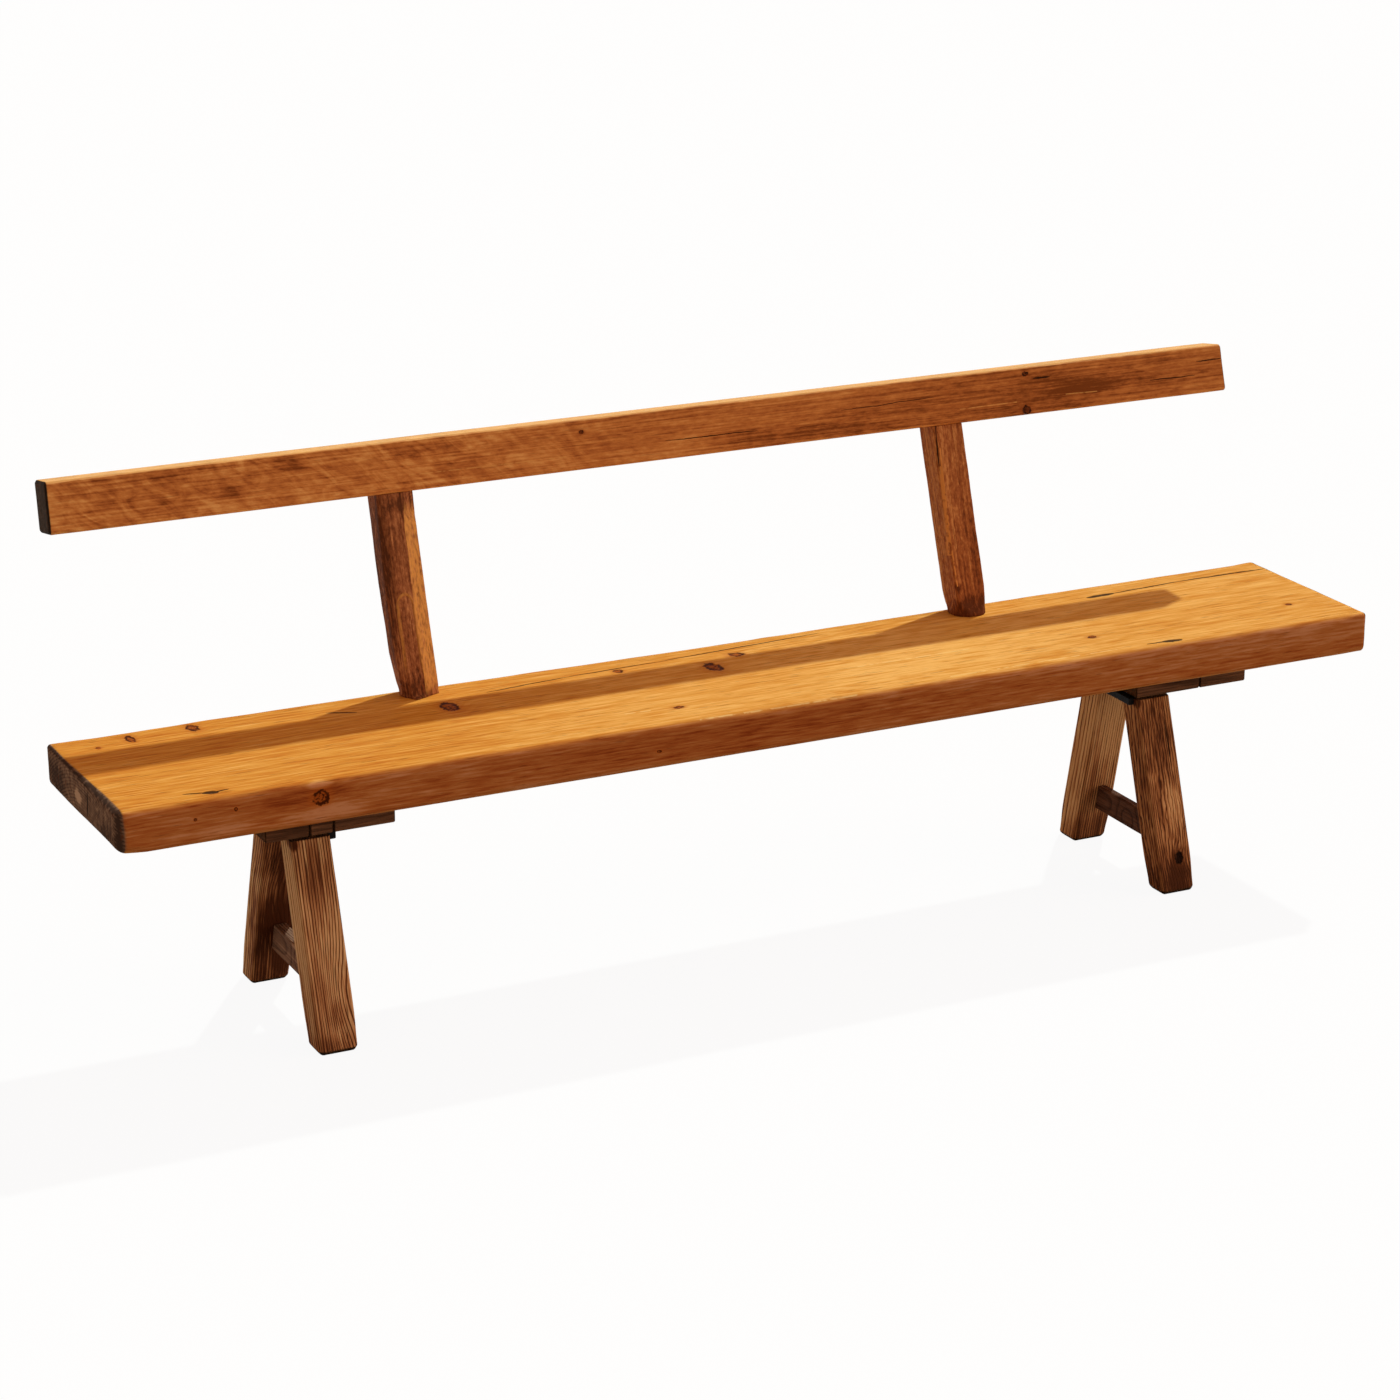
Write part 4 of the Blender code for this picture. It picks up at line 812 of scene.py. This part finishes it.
# span: from front to back between the outer faces of a trestle's two legs, at their tops
legs = {
    "frontLegLeft": dict(
        cad="front_leg_left", x=-0.7823, wide=0.0665, deep=0.054, span=0.1635, splay=17.0,
        facing=-1, shift=1.0, look=dict(
            legLook, bends=[(1.085, 0.047, 0.0, 0.03, 0.009, 0.03, 3.4)],
            shades=[
                (1.27, 0.034, 0.0, 0.05, 0.03, 0.02, -0.18), (1.16, 0.03, 0.0, 0.06, 0.05, 0.06, 0.1),
                # painted light: the first patch below lightens the leg's left side face, as the sky's sheen
                # does
                (1.18, 0.0, 0.027, 0.16, 0.004, 0.05, 0.3), (1.057, 0.037, 0.0, 0.026, 0.016, 0.03, -0.26),
                (1.012, 0.03, 0.0, 0.02, 0.05, 0.06, -0.25),
                # painted shade: a black patch at the top of the leg's left face, for the dark notch under
                # the plates
                (1.318, 0.004, 0.0, 0.012, 0.008, 0.03, -0.9)])),
    "backLegLeft": dict(
        cad="back_leg_left", x=-0.7808, wide=0.0665, deep=0.051, span=0.1635, splay=17.9,
        facing=1, shift=2.3, look=dict(
            legLook, bends=[(2.47, 0.023, 0.0, 0.028, 0.011, 0.03, 3.6)],
            shades=[
                (2.492, 0.0125, 0.0, 0.034, 0.018, 0.03, 0.3), (2.416, 0.037, 0.0, 0.024, 0.03, 0.03, -0.2),
                # painted shadow: the first patch below darkens the front face, which the seat and the front
                # leg shade; painted light: the second lightens the left side face, as the sky's sheen does
                (2.44, 0.035, 0.0, 0.22, 0.06, 0.04, -0.56), (2.44, 0.0, 0.026, 0.2, 0.004, 0.05, 0.12)])),
    "frontLegRight": dict(
        cad="front_leg_right", x=0.7487, wide=0.0675, deep=0.05, span=0.1675, splay=18.2,
        facing=-1, shift=4.1, look=dict(
            rightLegLook, bends=[(4.235, 0.012, 0.0, 0.05, 0.007, 0.03, 2.2)], wave=1.9,
            fibreScale=(26, 330, 330), streakScale=(9, 130, 130), fibreDepth=1.5, ringDepth=0.45,
            knots=[(4.1585, 0.042, 0.0, 0.01, 0.008, 0.03, 1.6)],
            cracks=[
                (4.3, 0.052, 0.0, 4.39, 0.05, 0.0, 0.0012), (4.149, 0.042, 0.0, 4.167, 0.043, 0.0, 0.0075)],
            shades=[
                (4.245, 0.046, 0.0, 0.045, 0.018, 0.03, 0.36),
                (4.115, 0.034, 0.0, 0.055, 0.06, 0.06, -0.48), (4.35, 0.03, 0.0, 0.07, 0.06, 0.06, -0.16),
                # painted shade: the first patch below darkens the top of the leg's left face under the
                # plates
                (4.418, 0.002, 0.0, 0.01, 0.008, 0.02, -0.8), (4.2, 0.02, 0.02, 0.24, 0.08, 0.08, -0.16)])),
    "backLegRight": dict(
        cad="back_leg_right", x=0.7487, wide=0.0675, deep=0.0575, span=0.1675, splay=12.5,
        facing=1, shift=5.7, look=dict(
            rightLegLook, shades=[
                (5.95, 0.05, 0.0, 0.1, 0.05, 0.04, 0.34), (5.72, 0.04, 0.0, 0.05, 0.06, 0.06, -0.35),
                # painted light: the patch below lightens the leg's left side face, as the sky's sheen does
                (5.86, 0.0, 0.02, 0.24, 0.006, 0.08, 0.16)]))}


# level distance from the seat's front edge to a leg's outer face at a height
def outerFace(leg, z):
    topY = setback if leg["facing"] < 0 else setback + leg["span"]
    return topY + leg["facing"] * (legTop - z) * math.tan(math.radians(leg["splay"]))


# weathered faces: long ridges stand along the grain, arrises are rubbed and chipped
def legWear(place, out, arris):
    side = 1 - out[:, 0] ** 2
    ridges = roughness(place * (9, 260, 260), 41, 2) + 1
    broad = roughness(place * (10, 30, 30), 43) + 1
    chips = roughness(place * (40, 60, 60), 47) + 1
    return side * ridges * 0.00028 + broad * 0.0004 + arris * chips * 0.0007


# an edge's radius at the foot, which is worn rounder, and above it, and where it changes
legRound = {"foot": 0.0095, "above": 0.0038, "reach": (-0.155, -0.1)}


def legEdges(block):
    low = 1 - ease(block[:, 0], *legRound["reach"])
    radius = legRound["above"] + (legRound["foot"] - legRound["above"]) * low
    return np.stack([radius, radius, radius], axis=1)


# the block stands upright, and each level slice slides out to the splayed leg's place
def makeLeg(name, leg):
    def lay(skin):
        z = skin[:, 0] + legTop / 2
        middle = outerFace(leg, z) - leg["facing"] * leg["deep"] / 2
        return np.stack([skin[:, 1] + leg["x"], skin[:, 2] + middle + frontEdge, z], axis=1)
    look = {"size": (legTop, leg["wide"], leg["deep"]), "edge": legRound["foot"],
            "steps": (110, 38, 30), "shift": (leg["shift"], 0, 0)}
    finish = woodFinish(name + "Wood", leg["look"])
    board(name, look, lay, legWear, finish, [leg["cad"]], legEdges)


for name, leg in legs.items():
    makeLeg(name, leg)
print("legs stand")

stretcherLook = dict(
    legLook, ringDepth=0.25, fibreDepth=0.8, blotchDepth=0.5, streakDepth=0.5, pith=(0.024, 0.06),
    bends=[(1.79, 0.024, 0.0, 0.022, 0.01, 0.02, 4.0), (4.02, 0.02, 0.0, 0.02, 0.01, 0.02, 3.0)],
    # the light patch on the left stretcher's top is partly raw wood, partly painted sunlight
    shades=[(1.8, 0.045, 0.0, 0.05, 0.006, 0.03, 0.45)])
blockLength = 0.25     # of a stretcher, before its ends are set to the legs
letIn = 0.001          # how far its ends reach into the legs

stretchers = {
    "stretcherLeft": dict(cad="stretcher_left", x=-0.7738, low=0.0675, wide=0.0475, thick=0.022,
                          legs=("frontLegLeft", "backLegLeft"), shift=1.7,
                          stops=[(0.1, (74, 53, 42)), (0.38, (118, 89, 70)),
                                 (0.6, (146, 113, 92)), (0.88, (190, 154, 126))]),
    "stretcherRight": dict(cad="stretcher_right", x=0.7552, low=0.065, wide=0.046, thick=0.016,
                           legs=("frontLegRight", "backLegRight"), shift=3.9,
                           stops=[(0.1, (54, 34, 26)), (0.38, (84, 56, 42)),
                                  (0.6, (104, 72, 55)), (0.88, (136, 98, 76))])}


def makeStretcher(name, bar):
    front, back = (legs[leg] for leg in bar["legs"])

    # the ends follow the legs' inner faces
    def lay(skin):
        z = skin[:, 1] + bar["low"] + bar["wide"] / 2
        start = outerFace(front, z) + front["deep"] - letIn
        end = outerFace(back, z) - back["deep"] + letIn
        y = start + (skin[:, 0] / blockLength + 0.5) * (end - start)
        return np.stack([skin[:, 2] + bar["x"], y + frontEdge, z], axis=1)
    look = {"size": (blockLength, bar["wide"], bar["thick"]), "edge": 0.0026,
            "steps": (70, 24, 12), "shift": (bar["shift"], 0, 0)}
    finish = woodFinish(name + "Wood", dict(stretcherLook, stops=bar["stops"]))
    board(name, look, lay, legWear, finish, [bar["cad"]])


for name, bar in stretchers.items():
    makeStretcher(name, bar)
print("stretchers laid")

plateLook = dict(
    legLook, blotchDepth=0.7, ringDepth=0.12, fibreDepth=0.9, rubDepth=0.6,
    stops=[(0.1, (62, 42, 29)), (0.38, (98, 69, 50)), (0.6, (126, 91, 67)), (0.88, (164, 122, 88))])
plateFinish = woodFinish("plateWood", plateLook)
plateWear = timberWear(np.array((14, 30, 30)), 0.0003, 0.0006, 71)
plateDepth, plateThick = 0.168, 0.0535

# each board's solid, left and right end, and shift along its grain
plates = {"plateLeftOuter": ("plate_left_outer", -0.8556, -0.7821, 1.1),
          "plateLeftMiddle": ("plate_left_middle", -0.7821, -0.7431, 2.2),
          "plateLeftInner": ("plate_left_inner", -0.7431, -0.6406, 3.3),
          "plateRightInner": ("plate_right_inner", 0.715, 0.8445, 4.4),
          "plateRightOuter": ("plate_right_outer", 0.8445, 0.9385, 5.5)}


def makePlate(name, cad, start, end, shift):
    wide = end - start - 2 * gap
    look = {"size": (wide, plateDepth, plateThick), "edge": 0.0028, "steps": (36, 60, 24),
            "shift": (shift, 0, 0)}
    middle = np.array((start + wide / 2, frontEdge + setback + plateDepth / 2,
                       legTop + gap + plateThick / 2))
    board(name, look, lambda skin: skin + middle, plateWear, plateFinish, [cad])


for name, plate in plates.items():
    makePlate(name, *plate)
print("plates laid")

ironLook = {"dark": tone(12, 11, 11), "worn": tone(30, 29, 29), "rust": tone(42, 26, 19)}
steelLook = {"dark": tone(70, 70, 72), "worn": tone(140, 140, 142), "rust": tone(96, 66, 46)}


# forged iron: black scale with worn grey edges, a little rust and hammer marks
def ironFinish(name, look, marked):
    iron = Finish(bpy.data.materials.new(name))
    if marked:
        place, arris = iron.mark("grain", 1), iron.mark("arris")
    else:
        place = iron.node("ShaderNodeTexCoord", {}, {}, 3)
        arris = iron.ease(iron.noise(place, (90, 90, 90), 2.0), 0.45, 0.7)
    scale = iron.noise(place, (120, 120, 120), 4.0, 0.6)
    hammer = iron.noise(place, (45, 45, 45), 1.0)
    colour = iron.mix(iron.ease(scale, 0.35, 0.7), look["dark"], look["worn"])
    rusty = iron.ease(iron.noise(place, (60, 60, 60), 3.0), 0.55, 0.75) * 0.7
    colour = iron.mix(rusty, colour, look["rust"])
    colour = iron.mix(arris * 0.4, colour, look["worn"])
    return iron.close({"Base Color": colour, "Metallic": 0.05, "Roughness": 0.5 + scale * 0.3,
                       "Specular IOR Level": 0.08,
                       "Normal": iron.bump(hammer * 0.8 + scale * 0.3, 0.0012)})


# the bars fill the boxes of their solids, with the block's grain axis from front to back
def makeBar(name, cad):
    low, high = (np.array(corner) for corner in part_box(cad))
    look = {"size": (high - low)[[1, 2, 0]], "edge": 0.0016, "steps": (60, 6, 30),
            "shift": (low[0], 0, 0)}
    board(name, look, lambda skin: skin[:, [2, 0, 1]] + (low + high) / 2, barWear, barFinish,
          [cad])


barFinish = ironFinish("blackIron", ironLook, True)
barWear = timberWear(np.array((30, 60, 60)), 0.0002, 0.0003, 81)
makeBar("bearerBarLeft", "bearer_bar_left")
makeBar("bearerBarRight", "bearer_bar_right")
screwFinish = ironFinish("screwSteel", steelLook, False)


# pegs and wedges keep their solids and take a pale cleft wood
def pegFinish():
    peg = Finish(bpy.data.materials.new("pegWood"))
    place = peg.node("ShaderNodeTexCoord", {}, {}, 3)
    fibre = peg.noise(place, (260, 60, 260), 3.0, 0.6)
    colour = peg.ramp(fibre, [(0.3, (104, 66, 36)), (0.5, (150, 104, 62)), (0.75, (186, 140, 92))])
    return peg.close({"Base Color": colour, "Roughness": 0.55 + fibre * 0.15,
                      "Normal": peg.bump(fibre, 0.0004)})


pegWood = pegFinish()
for label, node in nodes.items():
    fresh = None
    if "screw" in label:
        fresh = screwFinish
    elif "peg" in label or "wedge" in label:
        fresh = pegWood
    if fresh:
        for holder in node.material_slots:
            holder.material = fresh
print("iron, screws and pegs finished")
